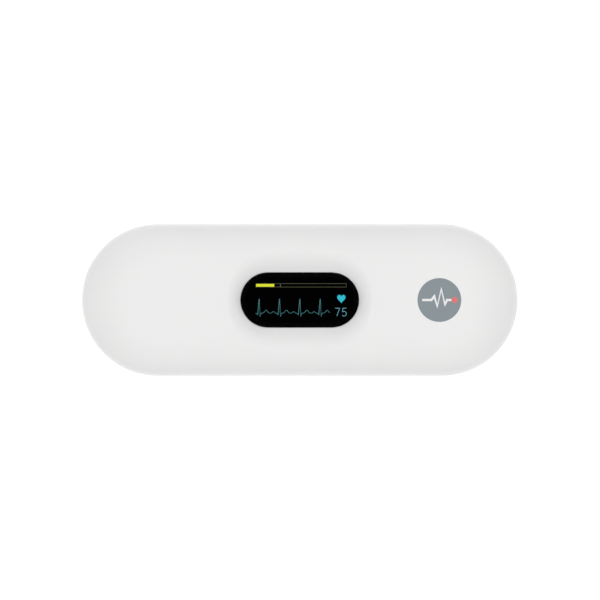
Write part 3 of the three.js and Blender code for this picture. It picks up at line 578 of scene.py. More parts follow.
def screw_parts(x, y):
    """Rings up the head's rounded edge and the shank to its tip, and the recess with its leaning walls."""
    head_at = lambda radius: circle(x, y, radius, 40)
    cross_at = lambda shrink: cross_outline(x, y, shrink)
    flat = SCREW_HEAD_RADIUS - HEAD_ROUND
    edge_z = SCREW_BACK_Z + HEAD_ROUND
    head_top = SCREW_BACK_Z + SCREW_HEAD_HEIGHT
    recess_z = SCREW_BACK_Z + CROSS_DEPTH
    profile = [(flat - SEAT_GAP, SCREW_BACK_Z)]
    profile += [(flat + HEAD_ROUND * out, edge_z - HEAD_ROUND * up) for out, up in quarter_round(6)]
    profile += [(SCREW_HEAD_RADIUS, head_top), (SCREW_SHANK_RADIUS, head_top)]
    profile += [(SCREW_SHANK_RADIUS, SCREW_TIP_Z - SCREW_TIP_LENGTH), (SCREW_TIP_RADIUS, SCREW_TIP_Z)]
    return [
        wall_part(head_at, profile),
        sheet_part([head_at(profile[0][0]), cross_at(0)], SCREW_BACK_Z),
        wall_part(cross_at, [(0, SCREW_BACK_Z), (CROSS_LEAN, recess_z)]),
        sheet_part([cross_at(CROSS_LEAN)], recess_z),
        sheet_part([head_at(SCREW_TIP_RADIUS)], SCREW_TIP_Z),
    ]


# Nickel-plated steel, tumbled before plating: grey with soft, even reflections.
nickel_screw = plated("tumbled_nickel_steel", "8F9194", "A5A7AA", 0.33, grain_mm=0.3, depth_mm=0.002)
for number, (x, y) in enumerate(SCREW_PLACES, start=1):
    stands_for = [f"case_screw_{number}"]
    make_piece(f"cross_screw_{number}", screw_parts(x, y), nickel_screw, stands_for)

# Electrodes
# Two plates of stainless steel that the fingers rest on, stamped with rounded edges and brushed lengthwise.
# Each has a stud through the shell's floor, a foam seal, a push-on clip, and a gilt leaf spring to the board.

ELECTRODE_THICKNESS = 0.8
ELECTRODE_ROUND = 0.25
STUD_TOP_Z = 2.9
STUD_CHAMFER = 0.15


def electrode_parts(side):
    """The outline carried round the plate's rounded edge, and the stud, a round column on its inner face."""
    outline_at = lambda grow: electrode_outline(grow, side)
    stud_at = lambda grow: circle(side * STUD_X, 0, STUD_RADIUS + grow)
    profile = [(-ELECTRODE_ROUND - SLIP_GAP, 0)]
    profile += [(ELECTRODE_ROUND * (out - 1), ELECTRODE_ROUND * (1 - up)) for out, up in quarter_round(7)]
    top_round = SEAT_GAP * 2
    profile += [(0, ELECTRODE_THICKNESS - top_round), (-top_round, ELECTRODE_THICKNESS)]
    column = [(0, ELECTRODE_THICKNESS), (0, STUD_TOP_Z - STUD_CHAMFER), (-STUD_CHAMFER, STUD_TOP_Z)]
    return [
        wall_part(outline_at, profile),
        sheet_part([outline_at(profile[0][0])], 0),
        sheet_part([outline_at(-top_round), stud_at(0)], ELECTRODE_THICKNESS),
        wall_part(stud_at, column),
        sheet_part([stud_at(-STUD_CHAMFER)], STUD_TOP_Z),
    ]


def finish_nodes(material, *names):
    """Gives pieces that keep their CAD shape their material."""
    for name in names:
        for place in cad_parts[name].material_slots:
            place.material = material


# Stainless steel, brushed along X: hairlines 0.15 mm apart and 12 mm long, coarser than a belt leaves them.
brushed_steel = plated("brushed_stainless_steel", "ABAEB0", "C9CCCE", 0.3, 0.15, 0.002, (0.0125, 1, 1), 0.5)
# Foam tape, dark grey with open cells 0.4 mm across that hold no light.
grey_tape = moulded("grey_foam_tape", "232426", "333437", 0.85, patch_mm=1.5, grain_mm=0.4, depth_mm=0.03)
# Spring steel, bright from the strip mill.
clip_steel = plated("rolled_spring_steel", "8A8C8F", "A9ABAE", 0.28, 0.5, 0.001, stretch=(0.1, 1, 1))
# Gold over nickel, plated: warm, clean and fairly glossy.
gold_plate = plated("plated_gold", "C99E44", "E0BE6C", 0.26, grain_mm=0.6, depth_mm=0.001)
for side, word in ((1, "right"), (-1, "left")):
    stands_for = [f"{word}_electrode"]
    make_piece(f"{word}_electrode_plate", electrode_parts(side), brushed_steel, stands_for)
    finish_nodes(grey_tape, f"{word}_electrode_seal")
    finish_nodes(clip_steel, f"{word}_electrode_clip")
    finish_nodes(gold_plate, f"{word}_contact_spring")

# Display window
# A pane of smoked acrylic, cut and polished, just below the dish floor. A black band is printed round its
# back, so only the lit part of the display shows through, and double-sided tape holds it on its ledge.

LENS_TOP_Z = 11.75
LENS_BACK_Z = 10.95
LENS_ROUND = 0.12
BAND_THICKNESS = 0.02
BAND_INSET = 0.1
WINDOW_TRACK = even_track(48, 8)
ACRYLIC_IOR = 1.49
# A film of dust and touch, in patches of this size, takes the roughness down and up to these shares of it.
FILM_PATCH = 7
FILM_CLEAN = 0.6
FILM_DULL = 1.6


def window_outline(grow):
    return np.column_stack(pill_points(WINDOW_TRACK, WINDOW_HALF, WINDOW_RADIUS + grow))


def lens_parts():
    """The window's outline carried up the pane's edge and over its polished top corner."""
    profile = [(0, LENS_BACK_Z)]
    edge_z = LENS_TOP_Z - LENS_ROUND
    profile += [(LENS_ROUND * (along - 1), edge_z + LENS_ROUND * up) for up, along in quarter_round(5)]
    profile.append((-LENS_ROUND - SEAT_GAP, LENS_TOP_Z))
    return solid_parts(window_outline, profile)


def band_parts():
    """A flat ring: its section, a closed loop, carried round the window's outline."""
    outer = -BAND_INSET
    inner = VIEW_RADIUS - WINDOW_RADIUS - BAND_INSET
    high = LENS_BACK_Z - BAND_THICKNESS / 4
    low = high - BAND_THICKNESS
    section = [(outer, low), (outer, high), (inner, high), (inner, low), (outer, low)]
    return [wall_part(window_outline, section)]


def smoked_pane(name, colour, alpha, roughness):
    """A dark clear plastic: mostly its own near black, with part of the light behind it let through."""
    material, tree, place = blank_material(name)
    film = add_node(tree, "TexNoise", {"Vector": place, "Scale": 1 / (FILM_PATCH * MM), "Detail": 4})
    gloss_range = {"To Min": roughness * FILM_CLEAN, "To Max": roughness * FILM_DULL}
    gloss = add_node(tree, "MapRange", {"Value": film, **gloss_range})
    looks = {"Base Color": linear(colour), "Roughness": gloss, "IOR": ACRYLIC_IOR, "Alpha": alpha}
    add_node(tree, "OutputMaterial", {"Surface": add_node(tree, "BsdfPrincipled", looks)})
    return material


# Cast acrylic with a smoke tint, polished: near black, sharp reflections, and what is lit behind it shows.
smoked_acrylic = smoked_pane("smoked_cast_acrylic", "020203", alpha=0.35, roughness=0.025)
# Screen ink, dense and slightly glossy.
black_ink = moulded("black_screen_ink", "020203", "040405", 0.45, 3, 0.2, 0.001, ior=1.15)
make_piece("window_pane", lens_parts(), smoked_acrylic, ["display_window"])
make_piece("window_band", band_parts(), black_ink)
finish_nodes(black_ink, "window_tape")

# Display
# What a small OLED panel under the pane shows. A bar along its top fills as a recording runs, and below it
# the heart's trace runs past a heart sign and the beats in a minute.

DISPLAY_Z = 9.8
LIT_THICKNESS = 0.02
LIT_LOW = DISPLAY_Z + LIT_THICKNESS / 2
LIT_HIGH = LIT_LOW + LIT_THICKNESS
PIXEL_PITCH = 0.17
PIXEL_GAP_SHARE = 0.08
PIXEL_GAP_LIGHT = 0.35
DIGIT_LINE = 0.155
FLAT_LINE = 0.09
STEEP_LINE = 0.165
BAR_LEFT = -10.4
BAR_RIGHT = 11.14
BAR_LOW = 3.01
BAR_HIGH = 3.97
BAR_LINE = 0.14
BAR_CORNER = 0.05
FILL_INSET = 0.15
FILLED_TO = -6.06
TICK_X = -4.6
HEART_X = 9.89
HEART_Y = 0.38
HEART_WIDTH = 1.99
HEART_STRETCH = 1.14
HEART_CURVE_WIDTH = 32
DIGIT_TOP = -1.96
DIGIT_FOOT = -3.81
SEVEN = ((8.45, DIGIT_TOP), (9.49, DIGIT_TOP), (8.82, DIGIT_FOOT))
FIVE_FLAG = ((11.06, DIGIT_TOP), (10.24, DIGIT_TOP), (10.18, -2.79))
# The five's belly: the middle and radius of an arc, and its first and last degree.
FIVE_BELLY = (10.53, -3.25, 0.56, 112, -140)

TRACE_START_X = -10.5
TRACE_END_X = 7.16
TRACE_Y = -3.11
BEAT_PITCH = 4.84
FIRST_BEAT_X = -9.7
BEAT_COUNT = 4
# One beat, from the middle of its peak. A wave is given by its middle, half width and height.
LOW_WAVE = (-1.43, 0.55, 0.38)
PEAK = ((-0.72, 0), (-0.3, -0.37), (0.01, 3.28), (0.07, 3.28), (0.27, -0.82), (0.52, 0.02))
BROAD_WAVE = (1.7, 0.75, 0.7)


def lit_pixels(name, colour, strength):
    """Lit pixels: square cells at the panel's pitch, with darker lines between them."""
    material, tree, place = blank_material(name)
    lit = linear(colour)
    colours = {"Color1": lit, "Color2": lit, "Mortar": (*(PIXEL_GAP_LIGHT * value for value in lit[:3]), 1)}
    cell = {"Brick Width": 1, "Row Height": 1, "Mortar Size": PIXEL_GAP_SHARE, "Mortar Smooth": 0.3}
    grid = {"Vector": place, "Scale": 1 / (PIXEL_PITCH * MM)}
    cells = add_node(tree, "TexBrick", {**grid, **colours, **cell}, offset=0)
    glow = {"Emission Color": cells, "Emission Strength": strength}
    surface = add_node(tree, "BsdfPrincipled", {"Base Color": linear("050505"), "Roughness": 0.4, **glow})
    add_node(tree, "OutputMaterial", {"Surface": surface})
    return material


def stroke_part(path, width, low, high, limit=2):
    """A flat bar along a path. A corner is offset by half the width over the cosine of half its turn.

    The width is one number, or one for each point. The offset is at most half the width times the limit.
    """
    path = np.asarray(path, float)
    steps = np.diff(path, axis=0)
    steps /= np.linalg.norm(steps, axis=1)[:, None]
    before = np.vstack([steps[:1], steps])
    after = np.vstack([steps, steps[-1:]])
    along = before + after
    along /= np.linalg.norm(along, axis=1)[:, None]
    across = np.column_stack([-along[:, 1], along[:, 0]])
    cosine = np.sum(across * np.column_stack([-before[:, 1], before[:, 0]]), axis=1)
    offset = across * (np.asarray(width) / 2 / np.clip(cosine, 1 / limit, 1))[:, None]
    left, right = path + offset, path - offset
    corners = [(left, low), (left, high), (right, high), (right, low)]
    points = np.stack([np.column_stack([line, np.full(len(line), z)]) for line, z in corners], axis=1)
    faces = grid_faces(len(path), 4).tolist()
    last = 4 * (len(path) - 1)
    return points.reshape(-1, 3), [*faces, [3, 2, 1, 0], [last, last + 1, last + 2, last + 3]]


def hump(centre, half_width, height, count=9):
    """Points over one soft wave: height * cos(s) ** 2 from side to side."""
    share = np.linspace(-1, 1, count)
    return np.column_stack([centre + half_width * share, height * np.cos(share * np.pi / 2) ** 2])


def heart_trace():
    """One beat is a low wave, a sharp dip, peak and dip, and a broader wave. It repeats at an even pitch."""
    beat = np.vstack([hump(*LOW_WAVE), PEAK, hump(*BROAD_WAVE)])
    line = np.vstack([beat + (FIRST_BEAT_X + i * BEAT_PITCH, TRACE_Y) for i in range(BEAT_COUNT)])
    inside = (line[:, 0] > TRACE_START_X + FLAT_LINE) & (line[:, 0] < TRACE_END_X - FLAT_LINE)
    return np.vstack([[TRACE_START_X, TRACE_Y], line[inside], [TRACE_END_X, TRACE_Y + FLAT_LINE]])


def trace_widths(path):
    """Pixels widen a steep line: flat + (steep - flat) * s ** 4, s = rise / length of the steeper step."""
    steps = np.diff(path, axis=0)
    rise = np.abs(steps[:, 1]) / np.linalg.norm(steps, axis=1)
    steeper = np.maximum(np.append(rise, 0), np.insert(rise, 0, 0))
    return FLAT_LINE + (STEEP_LINE - FLAT_LINE) * steeper**4


def heart_outline(grow):
    """x = 16 sin(t) ** 3, y = 13 cos(t) - 5 cos(2t) - 2 cos(3t) - cos(4t), scaled and stretched."""
    t = np.linspace(0, 2 * np.pi, 65)[:-1]
    x = 16 * np.sin(t) ** 3
    y = 13 * np.cos(t) - 5 * np.cos(2 * t) - 2 * np.cos(3 * t) - np.cos(4 * t)
    scale = (HEART_WIDTH + 2 * grow) / HEART_CURVE_WIDTH
    return np.column_stack([HEART_X + scale * x, HEART_Y + HEART_STRETCH * scale * y])


bar_y = (BAR_LOW + BAR_HIGH) / 2
bar_half = (BAR_HIGH - BAR_LOW) / 2
bar_at = rounded_box((BAR_RIGHT - BAR_LEFT) / 2, bar_half, BAR_CORNER, (BAR_LEFT + BAR_RIGHT) / 2, bar_y)
bar_loop = [(-BAR_LINE, LIT_LOW), (-BAR_LINE, LIT_HIGH), (0, LIT_HIGH), (0, LIT_LOW), (-BAR_LINE, LIT_LOW)]
tick = stroke_part([[TICK_X, BAR_LOW + BAR_LINE], [TICK_X, BAR_HIGH - BAR_LINE]], BAR_LINE, LIT_LOW, LIT_HIGH)
fill_half = bar_half - FILL_INSET
fill_at = rounded_box((FILLED_TO - BAR_LEFT) / 2, fill_half, BAR_CORNER, (FILLED_TO + BAR_LEFT) / 2, bar_y)
fill = solid_parts(fill_at, [(0, LIT_HIGH), (0, LIT_HIGH + LIT_THICKNESS)])
trace_path = heart_trace()
trace = stroke_part(trace_path, trace_widths(trace_path), LIT_LOW, LIT_HIGH)
sign = solid_parts(heart_outline, [(0, LIT_LOW), (0, LIT_HIGH)])
five = np.vstack([FIVE_FLAG, arc(*FIVE_BELLY, 16)])
digits = [stroke_part(path, DIGIT_LINE, LIT_LOW, LIT_HIGH) for path in (SEVEN, five)]

# OLED pixels behind glass: flat, even light with no shading of their own.
yellow_pixels = lit_pixels("yellow_oled_pixels", "E4EB2E", 2.46)
olive_pixels = lit_pixels("dim_yellow_oled_pixels", "55573A", 1.75)
grey_pixels = lit_pixels("dim_white_oled_pixels", "80807A", 1.8)
teal_pixels = lit_pixels("teal_oled_pixels", "5896A2", 2.85)
dim_teal_pixels = lit_pixels("dim_teal_oled_pixels", "569FA2", 1.35)
cyan_pixels = lit_pixels("cyan_oled_pixels", "2FC3DA", 2.45)
make_piece("recording_bar_frame", [wall_part(bar_at, bar_loop)], olive_pixels)
make_piece("recording_bar_tick", [tick], grey_pixels)
make_piece("recording_bar_filled", fill, yellow_pixels)
make_piece("heart_trace_line", [trace], dim_teal_pixels)
make_piece("heart_sign", sign, cyan_pixels)
make_piece("beat_count_digits", digits, teal_pixels)

# Display stack
# The panel itself: a cover glass on a back glass with its driver chip, and a flex with copper tracks. A foam
# gasket seals its face, and a moulded frame holds it off the board.

# A wave texture of scale 1 has waves of this length.
WAVE_LENGTH = 0.314


def film_with_tracks(name, film, track, pitch_mm, roughness):
    """Polyimide film: straight copper tracks show through it at an even pitch."""
    material, tree, place = blank_material(name)
    waves = {"Vector": place, "Scale": WAVE_LENGTH / (pitch_mm * MM), "Distortion": 0}
    bands = add_node(tree, "TexWave", waves, bands_direction="X").outputs["Fac"]
    colour = add_node(tree, "MixRGB", {"Fac": bands, "Color1": linear(film), "Color2": linear(track)})
    looks = {"Base Color": colour, "Roughness": roughness, "Coat Weight": 0.3}
    add_node(tree, "OutputMaterial", {"Surface": add_node(tree, "BsdfPrincipled", looks)})
    return material


# Display glass over an unlit panel: black with a trace of blue, and polished.
display_glass = moulded(
    "unlit_display_glass", "030405", "050608", 0.05, 8, grain_mm=0.5, depth_mm=0.0002, ior=1.52, spread=0.01
)
# Closed-cell foam, black, with cells 0.3 mm across.
black_foam = moulded("black_cell_foam", "121213", "1E1E20", 0.95, patch_mm=2, grain_mm=0.3, depth_mm=0.05)
# Epoxy moulding compound: nearly black, with a blasted, slightly speckled face.
black_epoxy = moulded("black_moulding_compound", "131416", "1F2023", 0.6, 0.6, 0.12, 0.004)
# Polyimide, amber, with copper tracks 0.5 mm apart under it.
amber_film = film_with_tracks("amber_polyimide_film", "A8611A", "C9863A", pitch_mm=0.5, roughness=0.4)
finish_nodes(display_glass, "display_cover_glass", "display_back_glass")
finish_nodes(black_foam, "display_gasket")
finish_nodes(black_epoxy, "display_driver_chip", "display_frame")
finish_nodes(amber_film, "display_flex")

# Main board
# Glass-epoxy laminate under green solder mask, with its chips soldered to the top. The radio sits on a board
# of its own, under a shield can, with a ceramic antenna past it.

FILTER_X = -19.2
FILTER_BODY_SHARE = 0.62
POUR_TRACKS = 5
COPPER_RELIEF = 0.02
SPECKLE = 0.2
SPECKLE_RELIEF = 0.004


def masked_laminate(name, mask, copper, track_mm):
    """Solder mask over copper: broad pours in soft blocks, crossed by fine tracks that bend a little."""
    material, tree, place = blank_material(name)
    blocks = {"Vector": place, "Scale": 1 / (POUR_TRACKS * track_mm * MM)}
    pours = add_node(tree, "TexVoronoi", blocks, distance="CHEBYCHEV", feature="F1")
    waves = {"Vector": place, "Scale": WAVE_LENGTH / (track_mm * MM), "Distortion": 2, "Detail": 0}
    tracks = add_node(tree, "TexWave", waves).outputs["Fac"]
    both = add_node(tree, "Math", {0: pours, 1: tracks}, operation="MULTIPLY", use_clamp=True)
    looks = {"Roughness": 0.38, "Coat Weight": 0.3}
    return two_coloured(material, both, mask, copper, both, COPPER_RELIEF, looks)


def ended_ceramic(name, body, cap, middle_mm, body_half_mm):
    """A ceramic block whose two ends along X are tinned."""
    material, tree, place = blank_material(name)
    centred = add_node(tree, "Mapping", {"Vector": place, "Location": (-middle_mm * MM, 0, 0)})
    along = add_node(tree, "SeparateXYZ", {"Vector": centred})
    away = add_node(tree, "Math", {0: along.outputs["X"]}, operation="ABSOLUTE")
    tinned = add_node(tree, "Math", {0: away, 1: body_half_mm * MM}, operation="GREATER_THAN")
    speckle = add_node(tree, "TexNoise", {"Vector": place, "Scale": 1 / (SPECKLE * MM), "Detail": 2})
    looks = {"Metallic": tinned, "Roughness": 0.45}
    return two_coloured(material, tinned, body, cap, speckle, SPECKLE_RELIEF, looks)


# FR-4 under green solder mask: copper shows through as a lighter green.
green_laminate = masked_laminate("green_masked_laminate", "0F4527", "1D6A3D", track_mm=0.6)
# Drawn nickel silver, soft sheen with faint rolling lines.
nickel_can = plated("drawn_nickel_silver", "B4B2AB", "CDCBC4", 0.28, 0.4, 0.001, stretch=(0.2, 1, 1))
# Barium titanate, tan, with tinned ends.
tan_ceramic = ended_ceramic("tan_chip_ceramic", "A98A62", "C8C9CB", FILTER_X, FILTER_BODY_SHARE)
# Fired antenna ceramic, tan and chalky.
antenna_ceramic = moulded("fired_antenna_ceramic", "A08059", "B39570", 0.65, 1, SPECKLE, SPECKLE_RELIEF)
# Tantalum block, moulded in orange epoxy.
orange_epoxy = moulded("orange_moulded_epoxy", "C67F22", "D8953A", 0.5, 1, SPECKLE, SPECKLE_RELIEF)
finish_nodes(green_laminate, "main_board", "radio_board")
chips = [f"{word}_chip" for word in ("controller", "heart_signal", "memory", "charger")]
finish_nodes(black_epoxy, *chips, "power_inductor")
finish_nodes(nickel_can, "crystal", "radio_shield")
finish_nodes(antenna_ceramic, "radio_antenna")
finish_nodes(orange_epoxy, "storage_capacitor")
finish_nodes(tan_ceramic, *(f"filter_capacitor_{number}" for number in range(1, 5)))

# Charging socket
# A stainless cup, deep drawn with a rolled mouth, on the parting plane at the right end. Its tongue is
# moulded in black nylon with twelve gilt contacts on each face.

SOCKET_BACK_X = 43.6
SOCKET_MOUTH_X = 50.9
CUP_WALL = 0.3
CUP_ROUND = 0.12
TONGUE_BACK_X = 43.95
TONGUE_LENGTH = 5.2
TONGUE_HALF_WIDTH = 3.3
TONGUE_HALF_THICKNESS = 0.35
TONGUE_ROUND = 0.15
CONTACT_COUNT = 12
CONTACT_PITCH = 0.5
CONTACT_WIDTH = 0.25
CONTACT_LENGTH = 3.6
CONTACT_START_X = 45.2
CONTACT_PROUD = 0.015


def laid(parts, axis):
    """Turns parts that were built upright so that their height runs along X or Y, at the parting plane."""
    turned = []
    for points, faces in parts:
        first, second, height = np.asarray(points).T
        flat = (height, first) if axis == "x" else (first, height)
        turned.append((np.column_stack([*flat, PART_Z + second]), faces))
    return turned


def pill_at(half, radius):
    """A pill outline, as a function of how far it grows."""
    return lambda grow: np.column_stack(pill_points(even_track(24, 2), half, radius + grow))


def cup_parts():
    """Up the outside, over the rolled mouth, down the inside, and a sheet over both sides of the back."""
    cup_at = pill_at(SOCKET_HALF, SOCKET_RADIUS)
    roll = CUP_WALL / 2
    roll_x = SOCKET_MOUTH_X - roll
    profile = [(-CUP_ROUND, SOCKET_BACK_X), (0, SOCKET_BACK_X + CUP_ROUND)]
    turns = np.linspace(0, np.pi, 9)
    profile += [(-roll + roll * np.cos(turn), roll_x + roll * np.sin(turn)) for turn in turns]
    profile.append((-CUP_WALL, SOCKET_BACK_X + CUP_WALL))
    return laid(solid_parts(cup_at, profile), "x")


def tongue_parts():
    """A flat bar with round edges, narrowed at its front."""
    tongue_at = rounded_box(TONGUE_HALF_WIDTH, TONGUE_HALF_THICKNESS, TONGUE_ROUND)
    front_x = TONGUE_BACK_X + TONGUE_LENGTH
    profile = [(0, TONGUE_BACK_X), (0, front_x - TONGUE_ROUND), (-TONGUE_ROUND / 2, front_x)]
    return laid(solid_parts(tongue_at, profile), "x")


def contact_parts():
    """Twelve flat strips side by side, on the upper and on the lower face."""
    parts = []
    half_width = CONTACT_WIDTH / 2
    places = (np.arange(CONTACT_COUNT) - (CONTACT_COUNT - 1) / 2) * CONTACT_PITCH
    for face_y in (TONGUE_HALF_THICKNESS, -TONGUE_HALF_THICKNESS):
        for place in places:
            strip_at = rounded_box(half_width, CONTACT_PROUD, CONTACT_PROUD / 2, place, face_y)
            parts += solid_parts(strip_at, [(0, CONTACT_START_X), (0, CONTACT_START_X + CONTACT_LENGTH)])
    return laid(parts, "x")


# Stainless steel, deep drawn: bright with faint lines along the draw.
drawn_steel = plated("deep_drawn_stainless_steel", "B9B8B4", "D2D1CD", 0.24, 0.3, 0.001, stretch=(0.1, 1, 1))
# Glass-filled nylon, black with a fine matt skin.
black_nylon = moulded("black_glass_filled_nylon", "141415", "1D1D1F", 0.55, 1.5, 0.15, 0.004)
make_piece("charging_cup", cup_parts(), drawn_steel, ["charge_socket"])
make_piece("charging_tongue", tongue_parts(), black_nylon, ["charge_tongue"])
make_piece("charging_contacts", contact_parts(), gold_plate)

# Battery
# A lithium pouch cell in aluminium laminate, on a foam pad between the two ribs. Its leads end in a cream
# nylon plug that sits in a connector under the board.

CREASE_PITCH = 4
CREASE_DEPTH = 0.05


def pouch_foil(name, dark, light):
    """Laminated foil over the cell: shallow creases over a soft sheen."""
    material, tree, place = blank_material(name)
    folds = {"Vector": place, "Scale": 1 / (CREASE_PITCH * MM)}
    creases = add_node(tree, "TexVoronoi", folds, feature="SMOOTH_F1")
    looks = {"Metallic": 1, "Roughness": 0.4}
    return two_coloured(material, creases, dark, light, creases, CREASE_DEPTH, looks)


# Aluminium laminate, cold formed: silver grey with soft creases.
foil_laminate = pouch_foil("aluminium_pouch_laminate", "BFC1C5", "D2D4D8")
# Natural nylon, moulded: cream and faintly glossy.
cream_nylon = moulded("cream_natural_nylon", "DFD7C1", "EBE5D3", 0.5, 2, grain_mm=0.2, depth_mm=0.003)
# Silicone sleeves over stranded wire: soft sheen over shallow grain.
sleeve = {"roughness": 0.5, "patch_mm": 1, "grain_mm": 0.3, "depth_mm": 0.02}
red_sleeve = moulded("red_silicone_sleeve", "A71E17", "BC2A21", **sleeve)
black_sleeve = moulded("black_silicone_sleeve", "151516", "202022", **sleeve)
finish_nodes(foil_laminate, "battery_cell")
finish_nodes(grey_tape, "battery_pad")
finish_nodes(cream_nylon, "battery_plug", "battery_connector")
finish_nodes(red_sleeve, "battery_red_lead")
finish_nodes(black_sleeve, "battery_black_lead")

# Power button
# A white ABS cap that stands flush in the long side. Wings behind the wall keep it in, and a pip on its back
# presses the plunger of a small side-acting switch under the board.

BUTTON_FACE_Y = 18.1
BUTTON_ROUND = 0.25
BUTTON_DIMPLE = 0.12
DIMPLE_START = 0.15
WING_OUTER_Y = 16.05
WING_INNER_Y = 15.45
WING_HALF_LENGTH = 6.6
WING_HALF_HEIGHT = 0.9
PIP_RADIUS = 0.8
PIP_TIP_Y = 15.2


def button_parts():
    """The cap's outline carried to a rounded edge and into a shallow finger dimple, then wings and pip."""
    cap_at = pill_at(BUTTON_HALF, BUTTON_RADIUS)
    edge_y = BUTTON_FACE_Y - BUTTON_ROUND
    profile = [(0, WING_INNER_Y)]
    profile += [(BUTTON_ROUND * (along - 1), edge_y + BUTTON_ROUND * up) for up, along in quarter_round(6)]
    for share in np.linspace(DIMPLE_START, 1, 7):
        reach = -BUTTON_ROUND - (BUTTON_RADIUS - BUTTON_ROUND - SEAT_GAP) * share
        profile.append((reach, BUTTON_FACE_Y - BUTTON_DIMPLE * np.sin(share * np.pi / 2) ** 2))
    wing_at = rounded_box(WING_HALF_LENGTH, WING_HALF_HEIGHT, BUTTON_ROUND)
    pip_at = lambda radius: circle(0, 0, radius, 32)
    pip = [(PIP_RADIUS - EDGE_ROUND, PIP_TIP_Y), (PIP_RADIUS, PIP_TIP_Y + EDGE_ROUND)]
    parts = solid_parts(cap_at, profile)
    parts += solid_parts(wing_at, [(0, WING_INNER_Y - SEAT_GAP / 2), (0, WING_OUTER_Y)])
    parts += solid_parts(pip_at, [*pip, (PIP_RADIUS, WING_OUTER_Y)])
    return laid(parts, "y")


make_piece("power_button_cap", button_parts(), white_abs, ["power_button"], body="button")
finish_nodes(black_nylon, "switch_body")
finish_nodes(cream_nylon, "switch_plunger")

# Printed mark
# A plain sign, pad printed on the roof right of the window: a slate disc, a white pulse line across it, and a
# coral dot where the line ends.

MARK_X = 33.1
MARK_RADIUS = 5.2
INK_THICKNESS = 0.015
PULSE_WIDTH = 0.55
PULSE = ((-4.1, 0), (-1.9, 0), (-1.2, 0.9), (-0.5, -1.5), (0.45, 2.6), (1.3, -1.1), (1.8, 0), (3.3, 0))
DOT_OFFSET = 3.6
DOT_RADIUS = 0.75


def printed_disc(x, radius, level, steps=14, count=72):
    """Rings over a disc laid on the roof: height = roof + level, and an underside just below the roof."""
    reaches = np.linspace(0, 1, steps)
    rows = []
    for height, shares in ((-INK_THICKNESS, reaches), (level, reaches[::-1])):
        for share in shares:
            ring_x, ring_y = circle(x, 0, radius * share, count).T
            rows.append((ring_x, ring_y, roof_surface(ring_x, ring_y) + height))
    return [rows_part(rows)]


def printed_line(path, width, level):
    """A flat line whose corners are laid on the roof."""
    points, faces = stroke_part(path, width, -INK_THICKNESS, level)
    points[:, 2] += roof_surface(points[:, 0], points[:, 1])
    return [(points, faces)]


# Pad-printing ink: thin, even and a little glossier than the plastic.
ink = {"roughness": 0.4, "patch_mm": 4, "grain_mm": 0.3, "depth_mm": 0.001}
slate_ink = moulded("slate_pad_print_ink", "7F8A8F", "858F94", **ink)
white_ink = moulded("white_pad_print_ink", "EBEBEB", "EFEFEE", **ink)
coral_ink = moulded("coral_pad_print_ink", "DC6967", "E17371", **ink)
pulse_line = printed_line(np.array(PULSE) + (MARK_X, 0), PULSE_WIDTH, 2 * INK_THICKNESS)
dot = printed_disc(MARK_X + DOT_OFFSET, DOT_RADIUS, 3 * INK_THICKNESS, steps=5, count=40)
make_piece("mark_disc", printed_disc(MARK_X, MARK_RADIUS, INK_THICKNESS), slate_ink)
make_piece("mark_pulse_line", pulse_line, white_ink)
make_piece("mark_dot", dot, coral_ink)

# Table, light and camera
# A white table seen straight from above, in an even, pale room. Two soft boxes hang over the long sides, and
# two smaller ones close to the camera, over the ends. A fifth one, below the table, lights the back.

TABLE_DROP = 0.02
TABLE_GRAIN = 3
TABLE_RELIEF = 0.01
CAMERA_HEIGHT = 1000
PHOTO_WIDTH_MM = 143.4
PHOTO_CENTRE_X = 0.06
SENSOR_WIDTH = 36
ROOM_LEVEL = 0.69
TABLE_GLOW = 0.45
# What the body's steep sides mirror of the table is brighter by this much, for a thin light rim.
MIRRORED_GLOW = 0.25
# How far up a ray points, as the cosine of its angle from straight up, where the room darkens to the camera.
GAP_EDGE = 0.97
GAP_HEART = 0.99
# In metres: the table, how near and far the camera sees, and each lamp: its place, its two sides, its watts.
TABLE_SIZE = 6
NEAREST_SEEN = 0.01
FARTHEST_SEEN = 20
SOFT_BOXES = {
    "far_soft_box": ((0, 0.36, 0.85), (0.8, 0.4), 0.63),
    "near_soft_box": ((0, -0.36, 0.85), (0.8, 0.4), 0.63),
    "left_soft_box": ((-0.175, 0, 0.9), (0.3, 0.22), 0.68),
    "right_soft_box": ((0.175, 0, 0.9), (0.3, 0.22), 0.68),
    "under_soft_box": ((0, 0, -0.8), (0.8, 0.8), 1.6),
}


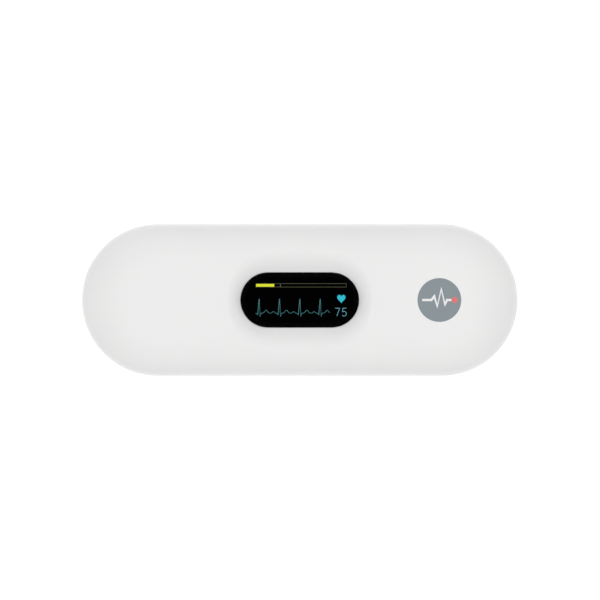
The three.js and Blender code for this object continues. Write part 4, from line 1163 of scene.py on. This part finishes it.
def table_material():
    """White laminate that keeps the object's shadow, and is clear from below and for the lamp there."""
    material, tree, place = blank_material("white_table_laminate")
    grain = add_node(tree, "TexNoise", {"Vector": place, "Scale": 1 / (TABLE_GRAIN * MM)})
    relief = add_node(tree, "Bump", {"Height": grain, "Distance": TABLE_RELIEF * MM, "Strength": 0.3})
    ray = add_node(tree, "LightPath").outputs
    mirrored = ray["Is Glossy Ray"]
    either = add_node(tree, "Math", {0: ray["Is Camera Ray"], 1: mirrored}, operation="MAXIMUM")
    seen = add_node(tree, "Math", {0: either, 1: ray["Is Transmission Ray"]}, operation="MAXIMUM")
    shown = add_node(tree, "Math", {0: seen, 1: TABLE_GLOW}, operation="MULTIPLY")
    strength = add_node(tree, "Math", {0: mirrored, 1: MIRRORED_GLOW, 2: shown}, operation="MULTIPLY_ADD")
    looks = {"Base Color": linear("EEEEEE"), "Roughness": 0.9, "Specular IOR Level": 0, "Normal": relief}
    glow = {"Emission Color": (1, 1, 1, 1), "Emission Strength": strength}
    surface = add_node(tree, "BsdfPrincipled", {**looks, **glow})
    from_below = add_node(tree, "NewGeometry").outputs["Backfacing"]
    let_through = add_node(tree, "Math", {0: from_below, 1: ray["Is Shadow Ray"]}, operation="MAXIMUM")
    mixed = add_node(tree, "MixShader", {0: let_through, 1: surface, 2: add_node(tree, "BsdfTransparent")})
    add_node(tree, "OutputMaterial", {"Surface": mixed})
    return material


half = TABLE_SIZE / 2
table_mesh = bpy.data.meshes.new("table")
corners = [(x, y, -TABLE_DROP * MM) for x, y in ((-half, -half), (half, -half), (half, half), (-half, half))]
table_mesh.from_pydata(corners, [], [(0, 1, 2, 3)])
table_mesh.materials.append(table_material())
table = bpy.data.objects.new("table", table_mesh)
bpy.context.scene.collection.objects.link(table)

room = bpy.data.worlds.new("pale_room")
room.use_nodes = True
tree = room.node_tree
tree.nodes.clear()
up = add_node(tree, "SeparateXYZ", {"Vector": add_node(tree, "TexCoord").outputs["Generated"]}).outputs["Z"]
gap = {"From Min": GAP_EDGE, "From Max": GAP_HEART, "To Min": ROOM_LEVEL, "To Max": 0}
level = add_node(tree, "MapRange", {"Value": up, **gap})
camera_ray = add_node(tree, "LightPath").outputs["Is Camera Ray"]
seen_level = add_node(tree, "Math", {0: level, 1: camera_ray}, operation="MAXIMUM")
air = add_node(tree, "Background", {"Color": (1, 1, 1, 1), "Strength": seen_level})
add_node(tree, "OutputWorld", {"Surface": air})
bpy.context.scene.world = room

# Each lamp is a rectangle that faces the object.
for name, (place, sides, power) in SOFT_BOXES.items():
    lamp = bpy.data.lights.new(name, "AREA")
    lamp.shape = "RECTANGLE"
    lamp.size, lamp.size_y = sides
    lamp.energy = power
    stand = bpy.data.objects.new(name, lamp)
    bpy.context.scene.collection.objects.link(stand)
    x, y, z = np.array(place)
    stand.rotation_euler = (np.arctan2(np.hypot(x, y), z), 0, np.arctan2(x, -y))
    stand.location = place

camera_data = bpy.data.cameras.new("photo_camera")
camera_data.sensor_width = SENSOR_WIDTH
camera_data.lens = SENSOR_WIDTH * CAMERA_HEIGHT / PHOTO_WIDTH_MM
camera_data.clip_start = NEAREST_SEEN
camera_data.clip_end = FARTHEST_SEEN
camera = bpy.data.objects.new("photo_camera", camera_data)
camera.location = (PHOTO_CENTRE_X * MM, 0, (PART_Z + CAMERA_HEIGHT) * MM)
bpy.context.scene.collection.objects.link(camera)
bpy.context.scene.camera = camera
bpy.context.scene.view_settings.view_transform = "Standard"
